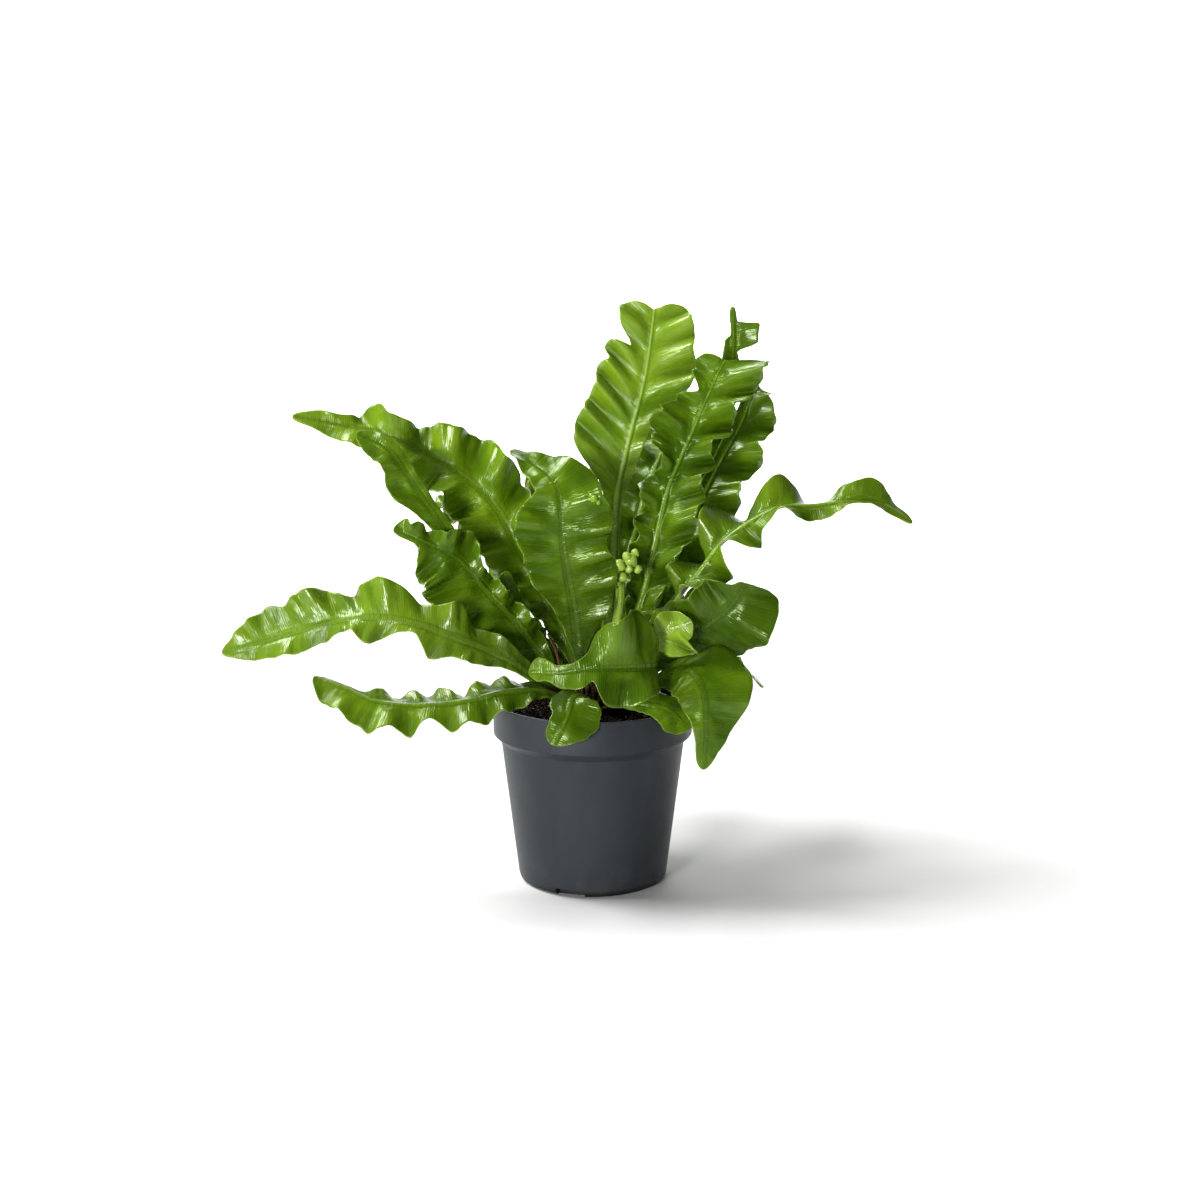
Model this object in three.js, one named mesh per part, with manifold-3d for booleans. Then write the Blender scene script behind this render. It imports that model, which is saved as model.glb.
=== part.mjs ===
// A waved bird's-nest fern in its 12 cm nursery pot.
//
// Millimetres, +Z up. The origin is the middle of the pot's underside, on the surface it stands on.
// The plant's front faces -Y. Every frond is a single blade with a strong midrib; its two halves
// rise and fall in waves that grow from the rib to the margin.
import * as THREE from 'three';
import { mergeVertices } from 'three/addons/utils/BufferGeometryUtils.js';
import Module from 'manifold-3d';

const wasm = await Module();
wasm.setup();

// Pot
const POT_HEIGHT = 111;
const POT_SIDES = 40;
const RIM_RADIUS = 60;
const RIM_WALL = 1.6;
const RIM_EASE = 0.6;
const BAND_BOTTOM = 91;
const SHOULDER_BOTTOM = 86.5;
const SHOULDER_RADIUS = 55.3;
const WALL = 1.3;
const BASE_RADIUS = 45.2;
const BASE_CORNER = 3;
const BASE_CORNER_Z = 4;
const CORNER_SHARE = 0.3;
const FOOT_INNER_RADIUS = 38;
const FLOOR_UNDERSIDE = 3;
const FLOOR_TOP = 4.6;
const PAD_RADIUS = 9;
const DRAFT = 1;
const NOTCH_COUNT = 4;
const NOTCH_WIDTH = 18;
const NOTCH_HEIGHT = 4.5;
const NOTCH_REACH = 12;
const NOTCH_ANGLE = -107.8;
const DRAIN_COUNT = 8;
const DRAIN_RADIUS = 3.5;
const DRAIN_RING = 27;
const DRAIN_SIDES = 12;

// Soil
const GAP = 0.3;
const FACET_EASE = 0.2;
const SOIL_TOP = 104.8;
const SOIL_EDGE_TOP = 103.6;
const SOIL_SIDES = 40;
const RING_START = 0.4;
const SOIL_RINGS = [6, 13, 20, 27, 34, 41, 48, 54];
// Clods are waves in the top: [radians a mm along X, the same along Y, shift, height]
const CLODS = [[0.31, 0.08, 1.3, 0.5], [-0.11, 0.27, 0.4, 0.5], [0.13, -0.37, 2.1, 0.4]];

// Crown
const CROWN_SIDES = 20;
const CROWN_PROFILE = [
  [15, 96.5], [19, 101], [21, 106], [21.5, 111], [20.5, 116], [18, 121], [14, 126], [9, 129.5], [4, 131],
];
const SCALE_RELIEF = 0.9;
const SCALES_AROUND = 5;
const STUB = [[-15, -6, 116], [-19, -7, 130], [-22, -7, 142], [-27, -6, 152]];
const STUB_RADIUS = 1.3;
const STUB_STEPS = 8;
const STUB_SEGMENTS = 4;

// Joins and cuts
const MERGE = 1e-4;
const CUT_EASE = 0.02;

// Fronds
const RIDGE_HALF = 2.6;
const RIDGE_SHARE = 0.5;
const RIB_BASE = 3;
const RIB_TIP = 1.1;
const BLADE = 0.7;
const STALK_EDGE = 1.7;
const LEAST_HALF = 1;
const SLEEVE_REACH = 30;
const SLEEVE_STEPS = 3;
const SLEEVE_SIDES = 6;
const SLEEVE_EASE = 0.75;
const CORNER_EASE = 0.02;
const LOOK = 0.015;
const WAVE_START = 2.5;
const WAVE_FULL = 9;
const WAVE_SPREAD = 0.3;
const WAVE_VARIATION = 0.25;
const VARIATION_BEATS = 2.3;
const VARIATION_SHIFT = 9;
const SWEEP_FULL = 12;
const RIB_STEPS = 400;
const BEAD_DETAIL = 1;

// Each frond, by hand from the photograph:
//   rib     points that the midrib runs through, from inside the crown to the tip
//   faces   where the upper face looks, at even shares of the length
//   left    [share, half width] of the half on the left of a viewer who faces the upper face
//   right   the same for the other half
//   waves   whole waves along the rib; tighten makes them shorter near the crown
//   lift    how far the waves tilt each half, degrees; phase shifts them
//   cup     steady tilt of each half, degrees; sweep runs the waves forward, towards the tip
//   tip     share of the length over which the end is rounded
//   rows    cross lines to a wave
//   extra   shares of further cross lines, where the outline steps
//   ease    share over which the outline's corners are eased, where it isn't CORNER_EASE
const FRONDS = {
  frond_tall: {
    rib: [
      [3, 4, 116], [8, 8, 145], [12, 14, 190], [14, 18, 228], [21, 26, 262], [31, 36, 300],
      [35, 43, 325], [37, 50, 341],
    ],
    faces: [[0.05, -1, 0.2]],
    left: [
      [0, 2], [0.2, 2.5], [0.35, 4], [0.47, 6], [0.505, 11], [0.53, 31], [0.57, 35], [0.62, 32],
      [0.66, 30], [0.7, 28], [0.735, 30], [0.765, 27], [0.78, 23], [0.8, 28], [0.84, 25], [0.866, 8],
      [0.895, 19], [0.93, 23], [1, 19],
    ],
    right: [
      [0, 2], [0.2, 2.5], [0.4, 3], [0.5, 4], [0.55, 7], [0.6, 9], [0.68, 11], [0.71, 16], [0.735, 24],
      [0.755, 29], [0.8, 30], [0.83, 27], [0.9, 25], [1, 22],
    ],
    waves: 14, tighten: 0.1, lift: [10, 10], phase: [0.25, 0.25],
    cup: [6, 6], sweep: [0.6, 0.6], tip: 0.08, rows: 2,
    extra: [0.865], ease: 0.012,
  },
  frond_glossy: {
    rib: [
      [10.5, 1, 114], [19, 3, 143], [29, 3, 170], [36, 3, 200], [45, 6, 238], [57, 11, 266],
      [70, 16, 296], [78, 20, 312],
    ],
    faces: [[-0.2, -1, 0.1]],
    left: [
      [0, 2], [0.15, 2], [0.25, 9], [0.36, 13], [0.43, 15], [0.455, 9], [0.49, 18], [0.525, 9],
      [0.56, 19], [0.6, 17], [0.65, 8], [0.69, 19], [0.74, 26], [0.79, 26], [0.815, 20], [0.84, 17],
      [0.865, 14], [0.885, 7], [0.905, 7], [0.92, 14], [0.96, 16], [1, 10],
    ],
    right: [
      [0, 2], [0.15, 2], [0.25, 9], [0.38, 18], [0.47, 23], [0.53, 24], [0.58, 20], [0.61, 19],
      [0.66, 22], [0.705, 16], [0.75, 23], [0.8, 19], [0.85, 25], [0.9, 25], [0.95, 28], [1, 25],
    ],
    waves: 9, tighten: 0, lift: [30, 20], phase: [0.25, 0.75],
    cup: [14, 8], sweep: [0.15, 0.6], tip: 0.02, rows: 3,
    ease: 0.01,
  },
  frond_leaning: {
    rib: [
      [10, 7, 114], [22, 13, 140], [41, 23, 170], [58, 33, 208], [75, 41, 244], [90, 47, 271],
      [100, 54, 296],
    ],
    faces: [[-0.3, -1, 0.1]],
    left: [[0, 2], [0.15, 2], [0.3, 7], [0.5, 10], [0.7, 4], [0.85, 6], [1, 4]],
    right: [
      [0, 2], [0.15, 2], [0.3, 12], [0.45, 20], [0.55, 23], [0.64, 22.5], [0.68, 20], [0.73, 25],
      [0.79, 21], [0.83, 16], [0.85, 23], [0.875, 19], [0.905, 15], [0.94, 17], [0.97, 10], [1, 3],
    ],
    waves: 7, tighten: 0, lift: [15, 24], phase: [0.25, 0.75],
    cup: [10, 6], sweep: [0.2, 0.5], tip: 0.08, rows: 3,
  },
  frond_torn: {
    rib: [
      [6, 10, 114], [24, 22, 145], [50, 40, 205], [71, 52, 265], [83, 58, 298], [86, 60, 314],
      [86, 66, 342],
    ],
    faces: [[0, -1, 0.1]],
    left: [[0, 2], [0.2, 2], [0.4, 9], [0.8, 9], [0.87, 6], [0.92, 5], [0.93, 1.2], [1, 1.2]],
    right: [
      [0, 2], [0.2, 2], [0.4, 9], [0.82, 9], [0.88, 3], [0.895, 2], [0.903, 15], [0.954, 17],
      [0.96, 2], [1, 1.2],
    ],
    waves: 7, tighten: 0, lift: [12, 8], phase: [0.25, 0.75],
    cup: [5, 5], sweep: [0.2, 0.1], tip: 0.02, rows: 3,
    extra: [0.893, 0.962], ease: 0.004,
  },
  frond_reaching: {
    rib: [
      [16.5, -1, 111], [28, -4, 140], [45, -12, 167], [62, -18, 191], [76, -18, 209], [92, -16, 221],
      [109, -14, 229], [128, -13, 230], [150, -12, 232], [170, -10, 230], [188, -8, 219],
    ],
    faces: [[-0.4, -0.5, 1], [-0.2, -0.6, 1]],
    left: [
      [0, 2], [0.15, 2], [0.3, 14], [0.34, 17], [0.4, 16], [0.445, 10], [0.47, 18], [0.495, 26],
      [0.53, 25], [0.58, 12], [0.61, 14], [0.66, 20], [0.72, 15], [0.78, 9], [0.83, 12], [0.87, 15],
      [0.92, 11], [1, 1.5],
    ],
    right: [
      [0, 2], [0.15, 2], [0.3, 12], [0.38, 14], [0.42, 18], [0.455, 15], [0.48, 9], [0.505, 19],
      [0.54, 18], [0.565, 11], [0.6, 9], [0.655, 13], [0.75, 8], [0.9, 6.5], [1, 1.5],
    ],
    waves: 6.5, tighten: 0.55, lift: [42, 42], phase: [0.25, 0.25],
    cup: [0, 0], sweep: [0.2, 0.2], tip: 0.02, rows: 4,
    ease: 0.012,
  },
  frond_dark: {
    rib: [[15, -7, 111], [30, -14, 131], [50, -24, 149], [67, -31, 162], [80, -35, 174], [88, -36, 188]],
    faces: [[0.2, -1, 0.2]],
    left: [
      [0, 2], [0.15, 3], [0.35, 15], [0.44, 20], [0.52, 24], [0.6, 23], [0.67, 21], [0.75, 22],
      [0.85, 20], [0.92, 16], [0.94, 9], [0.96, 5], [1, 8],
    ],
    right: [[0, 2], [0.15, 3], [0.35, 9], [0.5, 18], [0.65, 27], [0.8, 29], [1, 20]],
    waves: 3, tighten: 0, lift: [12, 12], phase: [0.25, 0.75],
    cup: [0, 0], sweep: [0.2, 0.3], tip: 0.08, rows: 4,
  },
  frond_hanging: {
    rib: [
      [12, -12, 110], [28, -24, 124], [46, -38, 136], [57, -50, 139], [63, -58, 131], [65, -60, 116],
      [65, -60, 98], [64, -58, 83],
    ],
    faces: [[0.1, -0.4, 1], [0.1, -0.6, 1], [0.1, -1, 0.3], [0, -1, 0]],
    left: [
      [0, 2], [0.15, 3], [0.3, 8], [0.4, 16], [0.48, 28], [0.55, 32], [0.64, 28], [0.77, 18],
      [0.87, 11], [0.95, 5], [1, 1.5],
    ],
    right: [
      [0, 2], [0.15, 3], [0.3, 8], [0.42, 16], [0.5, 20], [0.6, 16], [0.72, 12], [0.76, 9],
      [0.83, 6.5], [0.93, 5], [1, 2],
    ],
    waves: 3, tighten: 0, lift: [8, 8], phase: [0.25, 0.75],
    cup: [-10, -5], sweep: [0.2, 0.2], tip: 0.03, rows: 4,
  },
  frond_shell: {
    rib: [
      [5, -9, 114], [18, -23, 126], [32, -38, 136], [37, -52, 142], [26, -63, 144], [11, -69, 145],
      [-3, -71, 145], [-20, -68, 142], [-36, -62, 141],
    ],
    faces: [
      [0.3, 0.3, 1], [0.5, 0.3, 0.9], [0.9, 0.3, 0.4], [0.95, -0.4, 0.2], [0.3, -1, 0.25],
      [0, -1, 0.3], [-0.1, -1, 0.3], [-0.3, -1, 0.3],
    ],
    left: [
      [0, 2], [0.25, 3], [0.4, 7], [0.44, 13], [0.49, 17], [0.54, 20], [0.58, 22], [0.65, 22],
      [0.685, 19], [0.705, 14], [0.735, 6], [0.76, 10], [0.79, 11], [0.86, 9], [0.9, 5], [0.925, 4],
      [0.955, 5], [1, 3],
    ],
    right: [
      [0, 2], [0.25, 3], [0.4, 8], [0.44, 18], [0.47, 29], [0.5, 32], [0.57, 32], [0.6, 30],
      [0.65, 26], [0.7, 21], [0.715, 17], [0.74, 10], [0.77, 6], [0.81, 4], [0.88, 4], [0.91, 7],
      [0.945, 9], [1, 7],
    ],
    waves: 4, tighten: 0, lift: [12, 12], phase: [0.25, 0.75],
    cup: [8, 8], sweep: [0.1, 0.1], tip: 0.05, rows: 4,
    extra: [0.715, 0.735, 0.78, 0.905], ease: 0.008,
  },
  frond_spoon: {
    rib: [
      [9, -6, 115], [22, -18, 134], [31, -28, 148], [37, -36, 156], [44, -40, 161], [51, -42, 164],
      [57, -43, 167],
    ],
    faces: [[0, -1, 0.3]],
    left: [[0, 1.6], [0.5, 2.5], [0.73, 5], [0.78, 10], [0.83, 11], [0.9, 9], [0.95, 8], [1, 6]],
    right: [
      [0, 1.6], [0.45, 2.5], [0.52, 7], [0.6, 14], [0.7, 19], [0.75, 21], [0.84, 19], [0.88, 9],
      [0.93, 8], [1, 5],
    ],
    waves: 4, tighten: 0, lift: [16, 14], phase: [0.25, 0.75],
    cup: [8, 0], sweep: [0.1, 0.6], tip: 0.1, rows: 3,
    ease: 0.01,
  },
  frond_tongue: {
    rib: [[-2.5, -16.5, 110], [-4, -28, 118], [-11, -46, 123], [-15, -60, 113], [-22, -68, 100]],
    faces: [[0, -0.6, 1]],
    left: [[0, 2], [0.25, 3], [0.5, 14], [0.6, 18], [0.72, 19], [0.84, 15], [0.9, 12], [1, 9]],
    right: [[0, 2], [0.25, 3], [0.5, 11], [0.6, 12], [0.7, 9], [0.85, 8], [0.93, 9], [1, 8]],
    waves: 2, tighten: 0, lift: [8, 8], phase: [0.25, 0.75],
    cup: [0, 0], sweep: [0.1, 0.1], tip: 0.15, rows: 4,
  },
  frond_lip: {
    rib: [[5.5, -16, 109], [15, -26, 114], [31, -39, 117], [45, -49, 115], [55, -57, 106]],
    faces: [[0, -0.6, 1]],
    left: [[0, 2], [0.25, 3], [0.5, 10], [0.75, 12], [1, 9]],
    right: [[0, 2], [0.25, 3], [0.5, 7], [0.63, 8], [0.72, 12], [0.87, 13], [1, 9]],
    waves: 2, tighten: 0, lift: [8, 8], phase: [0.25, 0.75],
    cup: [0, 0], sweep: [0.1, 0.1], tip: 0.15, rows: 4,
  },
  frond_low: {
    rib: [
      [-12, -11.5, 110], [-30, -26, 122], [-50, -36, 124], [-72, -42, 120], [-94, -44, 118],
      [-112, -44, 118], [-130, -43, 121], [-146, -41, 128], [-162, -38, 133],
    ],
    faces: [[0, -0.5, 1]],
    left: [
      [0, 2], [0.12, 3], [0.2, 8], [0.226, 12], [0.27, 10], [0.302, 17], [0.345, 12], [0.394, 19],
      [0.434, 13], [0.47, 21], [0.55, 10], [0.58, 11], [0.615, 21], [0.676, 15], [0.727, 21],
      [0.8, 16], [0.86, 16], [0.94, 13], [1, 9],
    ],
    right: [
      [0, 2], [0.12, 3], [0.23, 12], [0.29, 14], [0.334, 16], [0.375, 12], [0.395, 14], [0.465, 7],
      [0.52, 16], [0.596, 10], [0.637, 14], [0.68, 7], [0.71, 12], [0.76, 12], [0.82, 4], [0.9, 2.5],
      [0.98, 4], [1, 3],
    ],
    waves: 8, tighten: 0.25, lift: [12, 12], phase: [0.25, 0.75],
    cup: [-20, -8], sweep: [0.15, 0.15], tip: 0.1, rows: 4,
  },
  frond_long: {
    rib: [
      [-15.5, -5.5, 111], [-36, -19, 130], [-51, -30, 143], [-73, -38, 154], [-88, -40, 160],
      [-102, -41, 165], [-117, -41, 168], [-136, -39, 168], [-154, -36, 164], [-192, -30, 152],
      [-217, -27, 145],
    ],
    faces: [[0, -0.85, 0.5]],
    left: [
      [0, 2], [0.12, 3], [0.22, 6], [0.26, 9], [0.31, 13], [0.335, 12], [0.358, 9], [0.38, 17],
      [0.4, 17], [0.435, 12], [0.465, 6], [0.49, 5], [0.535, 9], [0.57, 17], [0.61, 12], [0.655, 5],
      [0.7, 10], [0.75, 10], [0.765, 13], [0.81, 13], [0.86, 12], [0.92, 9], [0.965, 5], [1, 1.5],
    ],
    right: [
      [0, 2], [0.12, 3], [0.25, 10], [0.31, 11], [0.36, 21], [0.42, 15], [0.47, 13], [0.5, 19],
      [0.555, 26], [0.6, 19], [0.645, 15], [0.66, 21], [0.7, 23], [0.74, 22], [0.77, 19], [0.84, 23],
      [0.87, 19], [0.92, 13], [0.97, 6], [1, 1.5],
    ],
    waves: 6, tighten: 0.3, lift: [16, 16], phase: [0, 0.5],
    cup: [0, 0], sweep: [0.3, 0.3], tip: 0.02, rows: 5,
  },
  frond_upper: {
    rib: [
      [-8.5, 7.5, 114], [-14, 13, 140], [-27, 20, 166], [-45, 25, 199], [-61, 29, 226], [-84, 31, 246],
      [-99, 32, 254], [-120, 33, 265], [-153, 32, 273], [-181, 30, 278],
    ],
    faces: [[0, -1, 0.5]],
    left: [
      [0, 2], [0.07, 3], [0.1, 6], [0.14, 9], [0.2, 12], [0.26, 16], [0.31, 20], [0.355, 25],
      [0.39, 28], [0.43, 28], [0.485, 27], [0.54, 23], [0.6, 21], [0.7, 17], [0.82, 13], [0.87, 11],
      [0.93, 6], [1, 1.5],
    ],
    right: [
      [0, 2], [0.12, 3], [0.3, 14], [0.5, 27], [0.57, 27], [0.62, 22], [0.65, 23], [0.72, 12],
      [0.75, 12], [0.78, 18], [0.81, 16], [0.845, 8], [0.89, 6], [0.93, 7], [1, 1.5],
    ],
    waves: 9, tighten: 0.4, lift: [22, 28], phase: [0.25, 0.75],
    cup: [5, 5], sweep: [0.3, 0.4], tip: 0.02, rows: 3,
  },
  frond_curling: {
    rib: [
      [-11, 2, 114], [-25, 2, 136], [-45, 0, 156], [-60, -2, 171], [-76, -3, 192], [-88, -6, 214],
      [-97, -8, 229], [-107, -9, 244], [-119, -9, 262], [-137, -9, 272],
    ],
    faces: [[0.3, -1, 0.2]],
    left: [
      [0, 2], [0.12, 3], [0.3, 7], [0.5, 6], [0.64, 5], [0.69, 8], [0.73, 14], [0.79, 14], [0.83, 11],
      [0.88, 11], [0.95, 9], [1, 7],
    ],
    right: [[0, 2], [0.12, 3], [0.3, 7], [0.5, 6], [0.7, 5], [0.85, 6], [0.95, 6], [1, 5]],
    waves: 7, tighten: 0, lift: [15, 15], phase: [0.25, 0.75],
    cup: [5, 5], sweep: [0.3, 0.3], tip: 0.08, rows: 3,
  },
  frond_elbow: {
    rib: [
      [-16.5, 1, 111], [-30, -5, 137], [-46, -9, 160], [-62, -12, 178], [-78, -15, 197],
      [-90, -17, 205], [-100, -18, 210], [-116, -18, 217],
    ],
    faces: [[0.3, -1, 0.2]],
    left: [
      [0, 2], [0.12, 3], [0.3, 16], [0.5, 28], [0.62, 31], [0.71, 28], [0.82, 18], [0.865, 9],
      [0.885, 3], [1, 3],
    ],
    right: [
      [0, 2], [0.12, 3], [0.3, 10], [0.5, 11], [0.62, 8], [0.66, 10], [0.695, 21], [0.73, 18],
      [0.77, 14], [0.85, 8], [0.9, 10], [0.97, 8], [1, 5],
    ],
    waves: 7, tighten: 0, lift: [14, 30], phase: [0.25, 0.75],
    cup: [5, 5], sweep: [0.3, 0.3], tip: 0.05, rows: 3,
  },
  frond_shield: {
    rib: [
      [-4.5, -8, 115], [-8, -12, 140], [-11, -18, 168], [-15, -25, 193], [-17, -29, 208],
      [-18, -32, 228], [-20, -30, 242], [-26, -24, 250], [-35, -17, 255], [-47, -8, 262],
    ],
    faces: [[0, -1, 0.1], [0, -1, 0.1], [0, -1, 0.1], [0, -1, 0.1], [0, -1, 0.4], [0.2, -0.15, 1]],
    left: [
      [0, 2], [0.15, 2.5], [0.3, 10], [0.36, 15], [0.42, 21], [0.5, 24], [0.54, 23], [0.57, 28],
      [0.64, 26], [0.69, 23], [0.73, 15], [0.78, 12], [0.83, 11], [0.9, 8], [1, 5],
    ],
    right: [
      [0, 2], [0.15, 3], [0.2, 8], [0.25, 16], [0.31, 23], [0.38, 28], [0.46, 29], [0.5, 28],
      [0.53, 23], [0.57, 28], [0.62, 31], [0.68, 26], [0.74, 24], [0.8, 16], [0.86, 12], [0.92, 8],
      [1, 6],
    ],
    waves: 9.5, tighten: 0, lift: [8, 7], phase: [0.25, 0.6],
    cup: [4, 4], sweep: [0.2, 0.2], tip: 0.05, rows: 2,
  },
  frond_frilled: {
    rib: [[-14, 9, 111], [-24, 9, 129], [-36, 9, 147], [-47, 8, 166], [-53, 7, 187]],
    faces: [[0.3, -1, 0.2]],
    left: [[0, 1.8], [0.2, 3], [0.5, 9], [0.8, 9], [1, 3]],
    right: [[0, 2], [0.12, 3.5], [0.2, 8], [0.5, 9], [0.62, 7], [0.8, 6], [1, 3]],
    waves: 5, tighten: 0, lift: [36, 36], phase: [0.25, 0.75],
    cup: [0, 0], sweep: [0.3, 0.3], tip: 0.05, rows: 4,
  },
  frond_young: {
    rib: [[3, -3.5, 117], [8, -8, 136], [13, -12, 154], [16, -14, 173], [17, -15, 189], [21, -16, 196]],
    faces: [[0, -1, 0.2]],
    left: [[0, 1.5], [0.3, 1.8], [0.9, 2], [1, 2]],
    right: [[0, 1.5], [0.3, 1.8], [0.9, 2], [1, 2]],
    waves: 4, tighten: 0, lift: [20, 20], phase: [0.25, 0.75],
    cup: [0, 0], sweep: [0.3, 0.3], tip: 0.05, rows: 3,
  },
  frond_back_low: {
    rib: [[14.5, 8, 110], [35, 24, 126], [68, 60, 128], [95, 85, 112], [111, 95, 95]],
    faces: [[0, -0.3, 1]],
    left: [[0, 2], [0.2, 3], [0.5, 16], [0.8, 12], [1, 2]],
    right: [[0, 2], [0.2, 3], [0.5, 16], [0.8, 12], [1, 2]],
    waves: 5, tighten: 0, lift: [15, 15], phase: [0.25, 0.75],
    cup: [0, 0], sweep: [0.3, 0.3], tip: 0.05, rows: 3,
  },
  frond_back_tall: {
    rib: [
      [1, 11, 113], [9, 27, 148], [24, 52, 196], [36, 80, 232], [47, 112, 254], [53, 144, 258],
      [56, 168, 248],
    ],
    faces: [[0, -1, 0.4], [0, -1, 0.6], [0, -0.4, 1], [0, 0, 1]],
    left: [[0, 2], [0.15, 2.5], [0.3, 14], [0.5, 24], [0.75, 26], [0.9, 18], [1, 3]],
    right: [[0, 2], [0.15, 2.5], [0.3, 14], [0.5, 24], [0.75, 26], [0.9, 18], [1, 3]],
    waves: 9, tighten: 0, lift: [18, 18], phase: [0.25, 0.75],
    cup: [8, 8], sweep: [0.3, 0.3], tip: 0.04, rows: 2,
  },
  frond_back_right: {
    rib: [[9.5, 13.5, 110], [24, 26, 142], [40, 50, 180], [54, 78, 206], [64, 108, 214], [70, 136, 204]],
    faces: [[-0.4, -1, 0.6], [-0.2, -0.6, 1], [0, 0, 1]],
    left: [[0, 2], [0.15, 2.5], [0.3, 12], [0.5, 20], [0.75, 22], [0.9, 14], [1, 3]],
    right: [[0, 2], [0.15, 2.5], [0.3, 12], [0.5, 20], [0.75, 22], [0.9, 14], [1, 3]],
    waves: 8, tighten: 0, lift: [22, 22], phase: [0.25, 0.25],
    cup: [5, 5], sweep: [0.3, 0.3], tip: 0.04, rows: 2,
  },
  frond_back_left: {
    rib: [
      [-3.5, 16, 111], [-7, 30, 148], [-13, 54, 190], [-18, 84, 218], [-22, 116, 228], [-26, 146, 218],
    ],
    faces: [[0, -1, 0.4], [0, -0.6, 1], [0, 0, 1]],
    left: [[0, 2], [0.15, 2.5], [0.3, 12], [0.5, 22], [0.75, 24], [0.9, 14], [1, 3]],
    right: [[0, 2], [0.15, 2.5], [0.3, 12], [0.5, 22], [0.75, 24], [0.9, 14], [1, 3]],
    waves: 8, tighten: 0, lift: [20, 20], phase: [0.75, 0.25],
    cup: [5, 5], sweep: [0.3, 0.3], tip: 0.04, rows: 2,
  },
  frond_back_wide: {
    rib: [
      [-9.5, 14, 110], [-18, 28, 138], [-30, 54, 162], [-42, 84, 174], [-50, 112, 170],
      [-54, 136, 156],
    ],
    faces: [[0.3, -1, 0.7], [0.1, -0.4, 1], [0, 0, 1]],
    left: [[0, 2], [0.07, 4], [0.12, 7], [0.3, 7], [0.5, 20], [0.75, 21], [0.9, 13], [1, 3]],
    right: [[0, 2], [0.15, 2.5], [0.3, 12], [0.5, 20], [0.75, 21], [0.9, 13], [1, 3]],
    waves: 7, tighten: 0, lift: [22, 22], phase: [0.25, 0.25],
    cup: [3, 3], sweep: [0.3, 0.3], tip: 0.04, rows: 2,
  },
  frond_back_drooping: {
    rib: [[3.5, 16.5, 109], [5, 34, 134], [9, 64, 152], [12, 96, 152], [14, 126, 136], [14, 148, 110]],
    faces: [[0, -1, 0.7], [0, -0.2, 1], [0, 0.4, 1]],
    left: [[0, 2], [0.15, 2.5], [0.3, 12], [0.5, 19], [0.75, 20], [0.9, 13], [1, 3]],
    right: [[0, 2], [0.15, 2.5], [0.3, 12], [0.5, 19], [0.75, 20], [0.9, 13], [1, 3]],
    waves: 7, tighten: 0, lift: [20, 20], phase: [0.25, 0.75],
    cup: [0, 0], sweep: [0.3, 0.3], tip: 0.04, rows: 2,
  },
  frond_back_far: {
    rib: [
      [-9, 11.5, 116], [-19, 20, 146], [-36, 33, 184], [-58, 50, 210], [-84, 64, 220], [-108, 76, 214],
    ],
    faces: [[0.5, -1, 0.6], [0.3, -0.7, 1], [0, -0.2, 1]],
    left: [[0, 2], [0.25, 2.5], [0.4, 9], [0.55, 17], [0.75, 19], [0.9, 12], [1, 2]],
    right: [[0, 2], [0.25, 2.5], [0.4, 9], [0.55, 17], [0.75, 19], [0.9, 12], [1, 2]],
    waves: 7, tighten: 0, lift: [22, 22], phase: [0.25, 0.75],
    cup: [3, 3], sweep: [0.3, 0.3], tip: 0.04, rows: 2,
  },
  frond_back_side: {
    rib: [[13.5, 3.5, 110], [34, 20, 138], [56, 38, 156], [78, 54, 158], [96, 66, 146]],
    faces: [[-0.4, -0.8, 1], [0, -0.3, 1]],
    left: [[0, 2], [0.2, 2.5], [0.4, 10], [0.6, 15], [0.8, 14], [1, 2]],
    right: [[0, 2], [0.2, 2.5], [0.4, 10], [0.6, 15], [0.8, 14], [1, 2]],
    waves: 5, tighten: 0, lift: [20, 20], phase: [0.75, 0.25],
    cup: [0, 0], sweep: [0.3, 0.3], tip: 0.05, rows: 3,
  },
  frond_inner: {
    rib: [[-4, 1, 116], [-5, 2, 146], [-7, 1, 178], [-11, -1, 206], [-16, -3, 228]],
    faces: [[0.1, -1, 0.1]],
    left: [[0, 1.8], [0.2, 2.5], [0.45, 12], [0.75, 15], [0.9, 11], [1, 3]],
    right: [[0, 1.8], [0.2, 2.5], [0.45, 12], [0.75, 15], [0.9, 11], [1, 3]],
    waves: 6, tighten: 0, lift: [18, 18], phase: [0.25, 0.75],
    cup: [8, 8], sweep: [0.3, 0.3], tip: 0.05, rows: 3,
  },
};

// The young frond's tip is still rolled up: [x, y, z, radius] of its lobes.
const BEADS = [
  [22, -17, 198, 5], [16, -20, 195, 4], [11, -21, 190, 3.4], [18, -22, 189, 3.4], [27, -18, 192, 3],
];

const POT_COLOUR = 0x3b4046;
const SOIL_COLOUR = 0x2a2019;
const CROWN_COLOUR = 0x5a3d26;
const LEAF_COLOUR = 0x5f9a24;
const DARK_LEAF_COLOUR = 0x39701b;
const BRIGHT_LEAF_COLOUR = 0x82ad30;
const DARK_LEAVES = [
  'frond_leaning', 'frond_torn', 'frond_dark', 'frond_curling', 'frond_frilled', 'frond_glossy',
  'frond_elbow', 'frond_back_tall', 'frond_shield', 'frond_shell', 'frond_hanging', 'frond_tongue',
  'frond_lip', 'frond_inner',
];
const BRIGHT_LEAVES = [
  'frond_tall', 'frond_young', 'frond_long', 'frond_spoon',
];
const POT_ROUGHNESS = 0.5;
const SOIL_ROUGHNESS = 0.95;
const CROWN_ROUGHNESS = 0.9;
const LEAF_ROUGHNESS = 0.35;

const { PI, cos, sin, sqrt, min, max, round } = Math;
const lerp = THREE.MathUtils.lerp;
const smoothstep = (x, a, b) => THREE.MathUtils.smoothstep(x, a, b);

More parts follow.
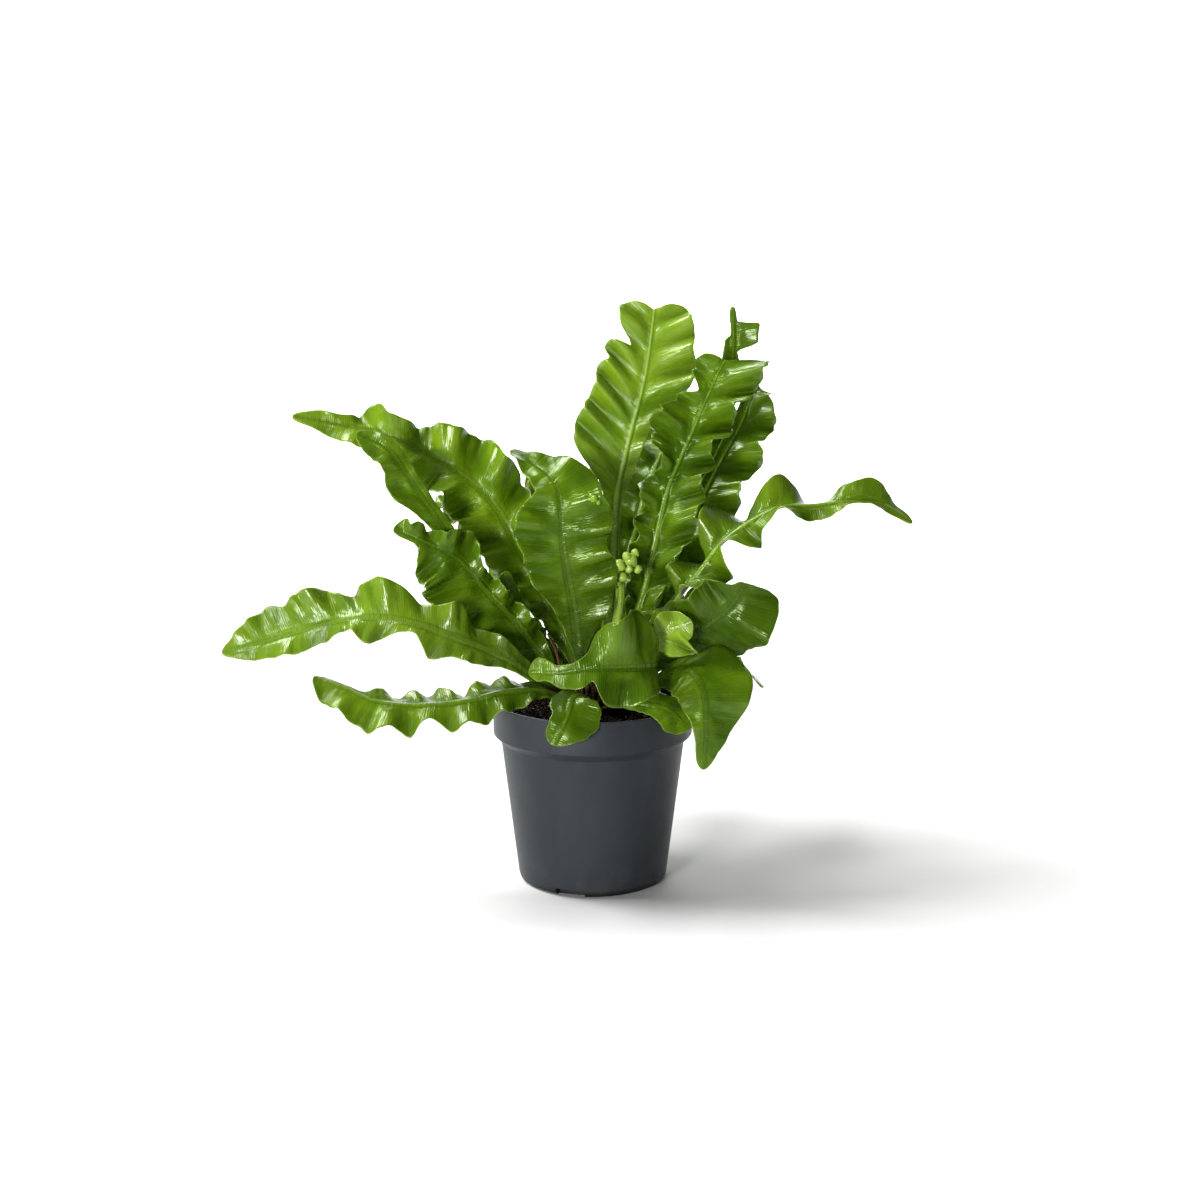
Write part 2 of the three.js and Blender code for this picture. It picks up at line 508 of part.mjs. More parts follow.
// A closed geometry as a solid for cutting and joining.
function solid(geometry) {
  const bare = geometry.clone();
  bare.deleteAttribute('normal');
  bare.deleteAttribute('uv');
  const merged = mergeVertices(bare, MERGE);
  const whole = [];
  for (let i = 0; i < merged.index.count; i += 3) {
    const [a, b, c] = [0, 1, 2].map((k) => merged.index.getX(i + k));
    if (a !== b && b !== c && c !== a) whole.push(a, b, c);
  }
  const vertProperties = new Float32Array(merged.attributes.position.array);
  const triVerts = new Uint32Array(whole);
  return new wasm.Manifold(new wasm.Mesh({ numProp: 3, vertProperties, triVerts }));
}

// A solid's faces as a geometry; crumbs that a cut left loose are dropped.
function faces(body) {
  const pieces = body.decompose();
  const largest = pieces.reduce((a, b) => (a.volume() > b.volume() ? a : b));
  const mesh = largest.simplify(CUT_EASE).getMesh();
  const geometry = new THREE.BufferGeometry();
  geometry.setAttribute('position', new THREE.BufferAttribute(new Float32Array(mesh.vertProperties), 3));
  geometry.setIndex(new THREE.BufferAttribute(new Uint32Array(mesh.triVerts), 1));
  return geometry;
}

// Closed rings of points stacked into one body, with a fan over each end.
function stack(rings) {
  const count = rings[0].length;
  const points = rings.flat();
  const index = [];
  for (let i = 0; i + 1 < rings.length; i++) {
    for (let k = 0; k < count; k++) {
      const next = (k + 1) % count;
      const [a, b] = [i * count + k, i * count + next];
      const [c, d] = [a + count, b + count];
      index.push(a, b, d, a, d, c);
    }
  }
  const first = new THREE.Vector3();
  const last = new THREE.Vector3();
  rings[0].forEach((p) => first.addScaledVector(p, 1 / count));
  rings[rings.length - 1].forEach((p) => last.addScaledVector(p, 1 / count));
  points.push(first, last);
  const top = (rings.length - 1) * count;
  for (let k = 0; k < count; k++) {
    const next = (k + 1) % count;
    index.push(points.length - 2, next, k, points.length - 1, top + k, top + next);
  }
  const geometry = new THREE.BufferGeometry().setFromPoints(points);
  geometry.setIndex(index);
  return geometry;
}

// Values in straight runs between [share, value] pairs.
function straight(pairs, s) {
  const after = pairs.findIndex(([share]) => share > s);
  if (after === 0) return pairs[0][1];
  if (after < 0) return pairs[pairs.length - 1][1];
  const [s0, v0] = pairs[after - 1];
  const [s1, v1] = pairs[after];
  return lerp(v0, v1, (s - s0) / (s1 - s0));
}

// The same with its corners eased over a share of the length.
function eased(pairs, s, ease) {
  const around = straight(pairs, s - ease) + straight(pairs, s + ease);
  return (around + 2 * straight(pairs, s)) / 4;
}

// A smooth curve through points.
function smoothCurve(points) {
  return new THREE.CatmullRomCurve3(points.map((p) => new THREE.Vector3(...p)), false, 'centripetal');
}

// A frond's midrib and the way its blade faces.
class Frond {
  constructor(name, form) {
    Object.assign(this, { ease: CORNER_EASE, extra: [] }, form);
    this.name = name;
    this.curve = smoothCurve(form.rib);
    this.curve.arcLengthDivisions = RIB_STEPS;
    this.length = this.curve.getLength();
  }

  // Waves passed from the crown to a share of the length.
  beat(s) {
    return this.waves * (s + this.tighten * s * (1 - s));
  }

  // The share at which a number of waves has passed.
  shareAt(beats) {
    const k = this.tighten;
    const part = beats / this.waves;
    if (k === 0) return part;
    return ((1 + k) - sqrt(max(0, (1 + k) ** 2 - 4 * k * part))) / (2 * k);
  }

  // Point on the rib with its forward, left and upper directions.
  frame(s) {
    const point = this.curve.getPointAt(s);
    const behind = this.curve.getPointAt(max(s - LOOK, 0));
    const ahead = this.curve.getPointAt(min(s + LOOK, 1)).sub(behind).normalize();
    const place = s * (this.faces.length - 1);
    const low = min(Math.floor(place), max(this.faces.length - 2, 0));
    const from = new THREE.Vector3(...this.faces[low]);
    const to = new THREE.Vector3(...this.faces[min(low + 1, this.faces.length - 1)]);
    const up = from.lerp(to, place - low);
    up.addScaledVector(ahead, -up.dot(ahead)).normalize();
    return { point, ahead, up, left: new THREE.Vector3().crossVectors(up, ahead) };
  }

  // Half width on one side, with the tip rounded.
  half(s, side) {
    const wide = eased(side === 0 ? this.left : this.right, s, this.ease);
    const past = min(max((s - (1 - this.tip)) / this.tip, 0), 1);
    return { wide, closed: max(wide * sqrt(max(1 - past * past, 0)), LEAST_HALF) };
  }

  // Point of the blade's middle surface; v runs from -1 at the right margin to 1 at the left.
  surface(s, v) {
    const { point, ahead, up, left } = this.frame(s);
    const side = v > 0 ? 0 : 1;
    const { wide, closed } = this.half(s, side);
    const turn = 2 * PI * (this.beat(s) + this.phase[side]);
    const vary = sin(2 * PI * VARIATION_BEATS * s + VARIATION_SHIFT * this.phase[side] + this.waves);
    const swing = this.lift[side] * smoothstep(wide, WAVE_START, WAVE_FULL) * (1 + WAVE_VARIATION * vary);
    const rise = swing * smoothstep(Math.abs(v), 0, WAVE_SPREAD) * sin(turn);
    const tilt = THREE.MathUtils.degToRad(this.cup[side] + rise);
    const reach = closed * Math.abs(v);
    return point
      .addScaledVector(left, cos(tilt) * reach * Math.sign(v))
      .addScaledVector(up, sin(tilt) * reach)
      .addScaledVector(ahead, this.sweep[side] * reach * min(1, wide / SWEEP_FULL));
  }

  // Thickness at the rib, beside it and at the margin.
  thickness(s) {
    const spread = smoothstep(max(this.half(s, 0).wide, this.half(s, 1).wide), WAVE_START, WAVE_FULL);
    const rib = lerp(RIB_BASE, RIB_TIP, s);
    const edge = lerp(STALK_EDGE, BLADE, spread);
    return [edge, lerp((rib + edge) / 2, BLADE, spread), rib, lerp((rib + edge) / 2, BLADE, spread), edge];
  }

  // The closed blade: both faces share their triangles, and a narrow face runs round the margin.
  geometry() {
    const count = round(this.waves * this.rows);
    const even = Array.from({ length: count + 1 }, (_, i) => min(this.shareAt(i / this.rows), 1));
    const shares = [...even, ...this.extra].sort((a, b) => a - b);
    const last = shares.length - 1;
    const grid = shares.map((s) => {
      const right = min(RIDGE_HALF / this.half(s, 1).closed, RIDGE_SHARE);
      const left = min(RIDGE_HALF / this.half(s, 0).closed, RIDGE_SHARE);
      return [-1, -right, 0, left, 1].map((v) => this.surface(s, v));
    });
    const across = grid[0].length;
    const points = [[], []];
    grid.forEach((row, i) => {
      const thick = this.thickness(shares[i]);
      row.forEach((p, k) => {
        const along = grid[min(i + 1, last)][k].clone().sub(grid[max(i - 1, 0)][k]);
        const over = row[min(k + 1, across - 1)].clone().sub(row[max(k - 1, 0)]);
        const normal = new THREE.Vector3().crossVectors(along, over).normalize();
        points[0].push(p.clone().addScaledVector(normal, thick[k] / 2));
        points[1].push(p.clone().addScaledVector(normal, -thick[k] / 2));
      });
    });
    const under = points[0].length;
    const index = [];
    const quad = (a, b, c, d, flip) => {
      const pair = flip ? [a, b, d, b, c, d] : [a, b, c, a, c, d];
      index.push(...pair);
    };
    for (let i = 0; i < last; i++) {
      for (let k = 0; k + 1 < across; k++) {
        const [a, b] = [i * across + k, (i + 1) * across + k];
        const [c, d] = [b + 1, a + 1];
        const flip = grid[i][k + 1].distanceTo(grid[i + 1][k]) < grid[i][k].distanceTo(grid[i + 1][k + 1]);
        quad(a, b, c, d, flip);
        quad(under + d, under + c, under + b, under + a, !flip);
      }
      const [a, b] = [i * across, (i + 1) * across];
      const [c, d] = [a + across - 1, b + across - 1];
      quad(a, under + a, under + b, b, false);
      quad(c, d, under + d, under + c, false);
    }
    for (const row of [0, last]) {
      for (let k = 0; k + 1 < across; k++) {
        const [a, b] = [row * across + k, row * across + k + 1];
        if (row === 0) quad(a, b, under + b, under + a, false);
        else quad(a, under + a, under + b, b, false);
      }
    }
    const geometry = new THREE.BufferGeometry().setFromPoints(points.flat());
    geometry.setIndex(index);
    return geometry;
  }

  // The hole in the crown that the stalk stands in.
  sleeve() {
    const rings = [];
    for (let i = 0; i <= SLEEVE_STEPS; i++) {
      const s = (SLEEVE_REACH / this.length) * (i / SLEEVE_STEPS);
      const { point, ahead, up, left } = this.frame(s);
      if (i === 0) point.addScaledVector(ahead, -GAP);
      const wide = max(this.half(s, 0).closed, this.half(s, 1).closed) + SLEEVE_EASE;
      const high = this.thickness(s)[2] / 2 + SLEEVE_EASE;
      const ring = [];
      for (let k = 0; k < SLEEVE_SIDES; k++) {
        const angle = (2 * PI * (k + 0.5)) / SLEEVE_SIDES;
        const spread = 1 / cos(PI / SLEEVE_SIDES);
        ring.push(point.clone()
          .addScaledVector(left, wide * spread * cos(angle))
          .addScaledVector(up, high * spread * sin(angle)));
      }
      rings.push(ring);
    }
    return stack(rings);
  }
}

// The pot: base, drafted wall, shoulder and rim band, turned about its axis.
function potSolid() {
  const inner = BASE_RADIUS - WALL;
  const profile = [
    [0, 0], [PAD_RADIUS, 0], [PAD_RADIUS + DRAFT, FLOOR_UNDERSIDE],
    [FOOT_INNER_RADIUS - DRAFT, FLOOR_UNDERSIDE], [FOOT_INNER_RADIUS, 0],
    [BASE_RADIUS - BASE_CORNER, 0],
    [BASE_RADIUS - BASE_CORNER * CORNER_SHARE, BASE_CORNER_Z * CORNER_SHARE],
    [BASE_RADIUS, BASE_CORNER_Z],
    [SHOULDER_RADIUS, SHOULDER_BOTTOM], [RIM_RADIUS, BAND_BOTTOM],
    [RIM_RADIUS, POT_HEIGHT - RIM_EASE], [RIM_RADIUS - RIM_EASE, POT_HEIGHT],
    [RIM_RADIUS - RIM_WALL, POT_HEIGHT], [RIM_RADIUS - RIM_WALL, BAND_BOTTOM + DRAFT],
    [SHOULDER_RADIUS - WALL, SHOULDER_BOTTOM + DRAFT],
    [inner, FLOOR_TOP + DRAFT], [inner - DRAFT, FLOOR_TOP], [0, FLOOR_TOP],
  ];
  const turned = new THREE.LatheGeometry(profile.map(([r, z]) => new THREE.Vector2(r, z)), POT_SIDES);
  let body = solid(turned.rotateX(PI / 2));
  for (let i = 0; i < NOTCH_COUNT; i++) {
    const angle = THREE.MathUtils.degToRad(NOTCH_ANGLE + (360 * i) / NOTCH_COUNT);
    const notch = new THREE.BoxGeometry(NOTCH_REACH, NOTCH_WIDTH, 2 * NOTCH_HEIGHT);
    notch.translate(BASE_RADIUS, 0, 0).rotateZ(angle);
    body = body.subtract(solid(notch));
  }
  for (let i = 0; i < DRAIN_COUNT; i++) {
    const angle = (2 * PI * (i + 0.5)) / DRAIN_COUNT;
    const drain = new THREE.CylinderGeometry(DRAIN_RADIUS, DRAIN_RADIUS, 4 * FLOOR_TOP, DRAIN_SIDES);
    drain.rotateX(PI / 2).translate(DRAIN_RING * cos(angle), DRAIN_RING * sin(angle), FLOOR_TOP);
    body = body.subtract(solid(drain));
  }
  return body;
}

// A ring of points at one height, or at a height that depends on the place.
function ring(radius, height, sides, relief = () => 0) {
  return Array.from({ length: sides }, (_, k) => {
    const angle = (2 * PI * (k + RING_START)) / sides;
    const [x, y] = [radius * cos(angle), radius * sin(angle)];
    return new THREE.Vector3(x, y, height + relief(x, y));
  });
}

// The soil fills the pot to just under its rim; its top is lumpy.
function soilSolid() {
  const lump = (x, y, [a, b, shift, high]) => high * sin(a * x + b * y + shift);
  const lumps = (x, y) => CLODS.reduce((sum, wave) => sum + lump(x, y, wave), 0);
  const inset = WALL + GAP + FACET_EASE;
  const rim = RIM_RADIUS - RIM_WALL - GAP - FACET_EASE;
  const rings = [
    ring(BASE_RADIUS - inset - DRAFT, FLOOR_TOP + GAP, SOIL_SIDES),
    ring(BASE_RADIUS - inset, FLOOR_TOP + DRAFT + GAP, SOIL_SIDES),
    ring(SHOULDER_RADIUS - inset, SHOULDER_BOTTOM + DRAFT, SOIL_SIDES),
    ring(rim, BAND_BOTTOM + DRAFT + GAP, SOIL_SIDES),
    ring(rim, SOIL_EDGE_TOP, SOIL_SIDES, (x, y) => lumps(x, y) / 2),
  ];
  for (const radius of [...SOIL_RINGS].reverse()) rings.push(ring(radius, SOIL_TOP, SOIL_SIDES, lumps));
  return solid(stack(rings));
}

// The crown's body, larger by a margin all round when it cuts its own seat.
function crownBody(margin) {
  const relief = (k, i) => SCALE_RELIEF * (cos((2 * PI * SCALES_AROUND * k) / CROWN_SIDES + i * PI) - 1);
  const rings = CROWN_PROFILE.map(([radius, height], i) => {
    const z = i === 0 ? height - margin : height;
    return Array.from({ length: CROWN_SIDES }, (_, k) => {
      const angle = (2 * PI * k) / CROWN_SIDES;
      const r = radius + margin + (margin > 0 ? 0 : relief(k, i));
      return new THREE.Vector3(r * cos(angle), r * sin(angle), z);
    });
  });
  return solid(stack(rings));
}

// A dead stalk that still stands on the crown.
function stub() {
  const section = new THREE.Shape();
  section.absarc(0, 0, STUB_RADIUS, 0, 2 * PI);
  return new THREE.ExtrudeGeometry(section, {
    steps: STUB_STEPS,
    extrudePath: smoothCurve(STUB),
    curveSegments: STUB_SEGMENTS,
    bevelEnabled: false,
  });
}

const fronds = Object.entries(FRONDS).map(([name, form]) => new Frond(name, form));

let crown = crownBody(0).add(solid(stub()));
for (const frond of fronds) crown = crown.subtract(solid(frond.sleeve()));
const soil = soilSolid().subtract(crownBody(GAP));

const fern = new THREE.Group();

function place(name, geometry, color, roughness) {
  const material = new THREE.MeshStandardMaterial({ color, roughness, metalness: 0 });
  const mesh = new THREE.Mesh(geometry, material);
  mesh.name = name;
  fern.add(mesh);
}

place('pot', faces(potSolid()), POT_COLOUR, POT_ROUGHNESS);
place('soil', faces(soil), SOIL_COLOUR, SOIL_ROUGHNESS);
place('crown', faces(crown), CROWN_COLOUR, CROWN_ROUGHNESS);
for (const frond of fronds) {
  let geometry = frond.geometry();
  if (frond.name === 'frond_young') {
    let body = solid(geometry);
    for (const [x, y, z, radius] of BEADS) {
      body = body.add(solid(new THREE.IcosahedronGeometry(radius, BEAD_DETAIL).translate(x, y, z)));
    }
    geometry = faces(body);
  }
  let color = LEAF_COLOUR;
  if (DARK_LEAVES.includes(frond.name)) color = DARK_LEAF_COLOUR;
  if (BRIGHT_LEAVES.includes(frond.name)) color = BRIGHT_LEAF_COLOUR;
  place(frond.name, geometry, color, LEAF_ROUGHNESS);
}

export default fern;
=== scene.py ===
"""A waved bird's-nest fern in its nursery pot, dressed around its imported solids.

Every size is in millimetres until a mesh is built, which is in metres, +Z up, with the middle of
the pot's underside at the origin and the plant's front towards -Y. A frond is a blade carried
along its midrib; the pot, the soil and the crown are profiles turned about the upright axis.
"""

import logging
import math
from dataclasses import dataclass, field
from enum import Enum
from typing import Any, Sequence

import bpy
import numpy as np
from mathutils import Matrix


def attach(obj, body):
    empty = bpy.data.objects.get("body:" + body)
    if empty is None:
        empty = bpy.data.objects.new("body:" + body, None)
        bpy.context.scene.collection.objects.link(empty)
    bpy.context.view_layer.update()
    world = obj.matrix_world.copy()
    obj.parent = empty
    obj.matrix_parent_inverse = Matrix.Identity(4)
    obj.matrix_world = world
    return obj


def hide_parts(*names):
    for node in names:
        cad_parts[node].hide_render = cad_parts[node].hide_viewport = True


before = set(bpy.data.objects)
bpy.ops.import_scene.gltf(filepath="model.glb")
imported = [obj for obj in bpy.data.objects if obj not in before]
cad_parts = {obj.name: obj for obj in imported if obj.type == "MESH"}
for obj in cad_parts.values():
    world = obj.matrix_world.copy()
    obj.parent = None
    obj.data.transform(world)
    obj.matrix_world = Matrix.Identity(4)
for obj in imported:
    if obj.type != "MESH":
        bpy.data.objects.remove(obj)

Array = np.ndarray
Pairs = Sequence[Sequence[float]]
Triple = tuple[float, float, float]

MM = 0.001
TURN = 2 * math.pi
BODY = "root"
SEED = 7
GOLDEN = 0.618  # steps of this share of a round spread their values evenly
ASLANT = (0.31, 0.87, 0.38)  # a direction that no strand follows

log = logging.getLogger("fern")
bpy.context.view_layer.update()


# Shapes as arrays


def smoothstep(low: float, high: float, x: Array) -> Array:
    """The smooth rise 3u^2 - 2u^3 of u, which goes from 0 at low to 1 at high."""
    u = np.clip((np.asarray(x, float) - low) / (high - low), 0, 1)
    return u * u * (3 - 2 * u)


def unit(vectors: Array) -> Array:
    """Vectors of length 1 along the last axis."""
    return vectors / np.maximum(np.linalg.norm(vectors, axis=-1, keepdims=True), 1e-9)


def ripple(points: Array, size: float, seed: int, count: int = 10) -> Array:
    """An uneven field, mostly between -1 and 1.

    It is the sum of sines that run in random directions, divided by the root of their count.

    Args:
        points: places, with their coordinates along the last axis.
        size: the waves' usual length, in the points' unit.
        seed: which field of its kind.
        count: how many sines it has.

    Returns:
        One value for each place.
    """
    rng = np.random.default_rng(seed)
    ways = unit(rng.normal(size=(count, points.shape[-1])))
    ways *= TURN / (size * rng.uniform(0.6, 1.6, (count, 1)))
    shift = rng.uniform(0, TURN, count)
    return np.sin(points @ ways.T + shift).sum(-1) / math.sqrt(count)


def rounded(corners: Pairs, radius: float, steps: int = 5) -> Array:
    """A profile with its inner corners rounded.

    Each corner c between a and b gives way to the curve (1-t)^2 p + 2t(1-t) c + t^2 q, where p and
    q lie on the two straight runs, radius away from c or at most 45% along them.

    Args:
        corners: the profile's points.
        radius: how far from a corner its rounding begins.
        steps: how many points a rounded corner has.

    Returns:
        The profile's points, as rows.
    """
    p = np.asarray(corners, float)
    a, c, b = p[:-2, None], p[1:-1, None], p[2:, None]
    back, on = np.linalg.norm(a - c, axis=2), np.linalg.norm(b - c, axis=2)
    start = c + (a - c) * np.minimum(radius / back, 0.45)[..., None]
    end = c + (b - c) * np.minimum(radius / on, 0.45)[..., None]
    t = np.linspace(0, 1, steps)[None, :, None]
    bends = (1 - t) ** 2 * start + 2 * t * (1 - t) * c + t**2 * end
    return np.concatenate([p[:1], bends.reshape(-1, p.shape[1]), p[-1:]])


@dataclass
class Shape:
    """A surface: points in millimetres, faces with equal corner counts in each array, and values.

    Values are named numbers at the points, which the finishes read.
    """

    points: Array
    faces: list[Array]
    values: dict[str, Array] = field(default_factory=dict)

    @staticmethod
    def joined(shapes: Sequence["Shape"]) -> "Shape":
        """One shape that holds several, with the values that they all have."""
        starts = np.cumsum([0] + [len(s.points) for s in shapes[:-1]])
        names = set.intersection(*(set(s.values) for s in shapes))
        return Shape(
            np.concatenate([s.points for s in shapes]),
            [f + n for s, n in zip(shapes, starts) for f in s.faces],
            {name: np.concatenate([s.values[name] for s in shapes]) for name in names},
        )

    def build(self, name: str, *materials: bpy.types.Material) -> bpy.types.Object:
        """Makes the mesh object, smooth and at the origin.

        Args:
            name: the piece's name.
            materials: what it is made of.

        Returns:
            The object, linked into the scene.
        """
        mesh = bpy.data.meshes.new(name)
        mesh.vertices.add(len(self.points))
        mesh.vertices.foreach_set("co", (self.points * MM).astype(np.float32).ravel())
        sizes = np.concatenate([np.full(len(f), f.shape[1]) for f in self.faces])
        corners = np.concatenate([f.ravel() for f in self.faces])
        mesh.loops.add(len(corners))
        mesh.loops.foreach_set("vertex_index", corners.astype(np.int32))
        mesh.polygons.add(len(sizes))
        mesh.polygons.foreach_set("loop_start", (np.cumsum(sizes) - sizes).astype(np.int32))
        mesh.update(calc_edges=True)
        mesh.validate()
        for key, value in self.values.items():
            layer = mesh.attributes.new(key, "FLOAT", "POINT")
            layer.data.foreach_set("value", value.astype(np.float32).ravel())
        mesh.shade_smooth()
        for material in materials:
            mesh.materials.append(material)
        piece = bpy.data.objects.new(name, mesh)
        bpy.context.scene.collection.objects.link(piece)
        return piece


def grid_faces(rows: int, columns: int, closed: bool = False, flip: bool = False) -> Array:
    """The four-sided faces of a grid of points, row by row.

    Args:
        rows: how many rows of points.
        columns: how many points in a row.
        closed: whether the last column joins the first.
        flip: whether the faces look the other way.

    Returns:
        One row of four point numbers for each face.
    """
    steps = np.arange(columns if closed else columns - 1)
    i, j = np.meshgrid(np.arange(rows - 1) * columns, steps, indexing="ij")
    k = (j + 1) % columns
    quads = np.stack([i + j, i + columns + j, i + columns + k, i + k], -1).reshape(-1, 4)
    return quads[:, ::-1] if flip else quads


def stacked(rings: Array, flip: bool = False) -> Shape:
    """Rings of points joined one to the next, with a fan from its middle over each end.

    Args:
        rings: array of rings, each a row of points that goes once round.
        flip: whether the faces look the other way.

    Returns:
        The closed shape; its points are the rings in order, then the two middles.
    """
    rows, columns = rings.shape[:2]
    points = np.concatenate([rings.reshape(-1, 3), rings[:1].mean(1), rings[-1:].mean(1)])
    j = np.arange(columns)
    k = (j + 1) % columns
    top = (rows - 1) * columns
    first = np.stack([np.full(columns, rows * columns), j, k], 1)
    last = np.stack([np.full(columns, rows * columns + 1), top + k, top + j], 1)
    fans = np.concatenate([first, last])
    return Shape(points, [grid_faces(rows, columns, True, flip), fans[:, ::-1] if flip else fans])


def turned(profile: Array, angles: Array) -> Array:
    """Rings that turn a profile of (radius, height) rows about the vertical axis."""
    r, z = profile[:, :1], profile[:, 1:]
    return np.stack([r * np.cos(angles), r * np.sin(angles), z + 0 * angles], -1)


def repeated(pattern: Shape, centres: Array, frames: Array) -> Shape:
    """A small shape put down many times.

    Args:
        pattern: the shape that is repeated.
        centres: where each copy goes.
        frames: a 3 by 3 matrix for each copy, which turns and sizes it.

    Returns:
        All copies as one shape, with a value "pick" from 0 to 1 that tells them apart.
    """
    points = np.einsum("kij,nj->kni", frames, pattern.points) + centres[:, None]
    steps = np.arange(len(centres))[:, None, None] * len(pattern.points)
    faces = [(f[None] + steps).reshape(-1, f.shape[1]) for f in pattern.faces]
    pick = np.repeat(np.arange(len(centres)) * GOLDEN % 1, len(pattern.points))
    return Shape(points.reshape(-1, 3), faces, {"pick": pick})


def random_frames(rng: np.random.Generator, sizes: Array) -> Array:
    """Random turns, each with its three sizes along its own axes."""
    axes, _ = np.linalg.qr(rng.normal(size=(len(sizes), 3, 3)))
    axes *= np.sign(np.linalg.det(axes))[:, None, None]
    return axes * sizes[:, None, :]


def strands(paths: Array, radii: Array, sides: int = 3) -> Shape:
    """Thin tubes along paths, closed at both ends.

    A tube's ring stands square to its path: side * cos(a) + over * sin(a), times the radius.

    Args:
        paths: for each strand a row of points.
        radii: for each strand the radius at each of its points.
        sides: how many sides a tube has.

    Returns:
        All tubes as one shape, with a value "pick" for each strand and "share" along it.
    """
    along = unit(np.gradient(paths, axis=1))
    side = unit(np.cross(along, ASLANT))[:, :, None]
    over = np.cross(along, side[:, :, 0])[:, :, None]
    angle = (np.arange(sides) * TURN / sides)[:, None]
    round_path = np.cos(angle) * side + np.sin(angle) * over
    rings = paths[:, :, None] + radii[:, :, None, None] * round_path
    count, length = paths.shape[:2]
    points = np.concatenate([rings.reshape(count, -1, 3), paths[:, :1], paths[:, -1:]], 1)
    pattern = stacked(rings[0], True)
    steps = np.arange(count)[:, None, None] * points.shape[1]
    faces = [(f[None] + steps).reshape(-1, f.shape[1]) for f in pattern.faces]
    share = np.tile(np.concatenate([np.repeat(np.linspace(0, 1, length), sides), [0, 1]]), count)
    pick = np.repeat(np.arange(count) * GOLDEN % 1, points.shape[1])
    return Shape(points.reshape(-1, 3), faces, {"share": share, "pick": pick})


def ball(detail: int = 1) -> Shape:
    """A round ball of radius 1: an icosahedron whose faces are split and pushed out."""
    g = (1 + 5**0.5) / 2
    points = np.array([[-1, g, 0], [1, g, 0], [-1, -g, 0], [1, -g, 0], [0, -1, g], [0, 1, g],
                       [0, -1, -g], [0, 1, -g], [g, 0, -1], [g, 0, 1], [-g, 0, -1], [-g, 0, 1]])
    faces = np.array([[0, 11, 5], [0, 5, 1], [0, 1, 7], [0, 7, 10], [0, 10, 11], [1, 5, 9], [5, 11, 4],
                      [11, 10, 2], [10, 7, 6], [7, 1, 8], [3, 9, 4], [3, 4, 2], [3, 2, 6], [3, 6, 8],
                      [3, 8, 9], [4, 9, 5], [2, 4, 11], [6, 2, 10], [8, 6, 7], [9, 8, 1]])
    for _ in range(detail):
        a, b, c = faces.T
        edges = np.sort(np.concatenate([faces[:, [0, 1]], faces[:, [1, 2]], faces[:, [2, 0]]]), 1)
        halves, number = np.unique(edges, axis=0, return_inverse=True)
        ab, bc, ca = number.reshape(3, -1) + len(points)
        points = np.concatenate([points, points[halves].mean(1)])
        quarters = ((a, ab, ca), (ab, b, bc), (ca, bc, c), (ab, bc, ca))
        faces = np.concatenate([np.stack(quarter, 1) for quarter in quarters])
    return Shape(unit(points), [faces])


# Materials as arithmetic


class Wire:
    """A number that varies over a surface; arithmetic on it adds Math nodes."""

    def __init__(self, graph: "Graph", socket: bpy.types.NodeSocket) -> None:
        """Wraps an output socket of the graph."""
        self.graph = graph
        self.socket = socket

    def _math(self, operation: str, *values: Any) -> "Wire":
        """Adds a Math node with these values, in order."""
        node = self.graph.node("ShaderNodeMath", {"operation": operation}, dict(enumerate(values)))
        return Wire(self.graph, node.outputs[0])

    def __add__(self, other: Any) -> "Wire":
        """Self plus other."""
        return self._math("ADD", self, other)

    def __radd__(self, other: Any) -> "Wire":
        """Other plus self."""
        return self._math("ADD", other, self)

    def __sub__(self, other: Any) -> "Wire":
        """Self less other."""
        return self._math("SUBTRACT", self, other)

    def __rsub__(self, other: Any) -> "Wire":
        """Other less self."""
        return self._math("SUBTRACT", other, self)

    def __mul__(self, other: Any) -> "Wire":
        """Self times other."""
        return self._math("MULTIPLY", self, other)

    def __rmul__(self, other: Any) -> "Wire":
        """Other times self."""
        return self._math("MULTIPLY", other, self)

    def __truediv__(self, other: Any) -> "Wire":
        """Self divided by other."""
        return self._math("DIVIDE", self, other)

    def __rtruediv__(self, other: Any) -> "Wire":
        """Other divided by self."""
        return self._math("DIVIDE", other, self)

    def __abs__(self) -> "Wire":
        """Self without its sign."""
        return self._math("ABSOLUTE", self)

    def sine(self) -> "Wire":
        """The sine of self, in radians."""
        return self._math("SINE", self)

    def rise(self, low: float, high: float, start: float = 0, end: float = 1) -> "Wire":
        """Goes smoothly from start, where self is low or less, to end, where it is high or more."""
        node = self.graph.node(
            "ShaderNodeMapRange",
            {"interpolation_type": "SMOOTHSTEP"},
            {"Value": self, "From Min": low, "From Max": high, "To Min": start, "To Max": end},
        )
        return Wire(self.graph, node.outputs[0])


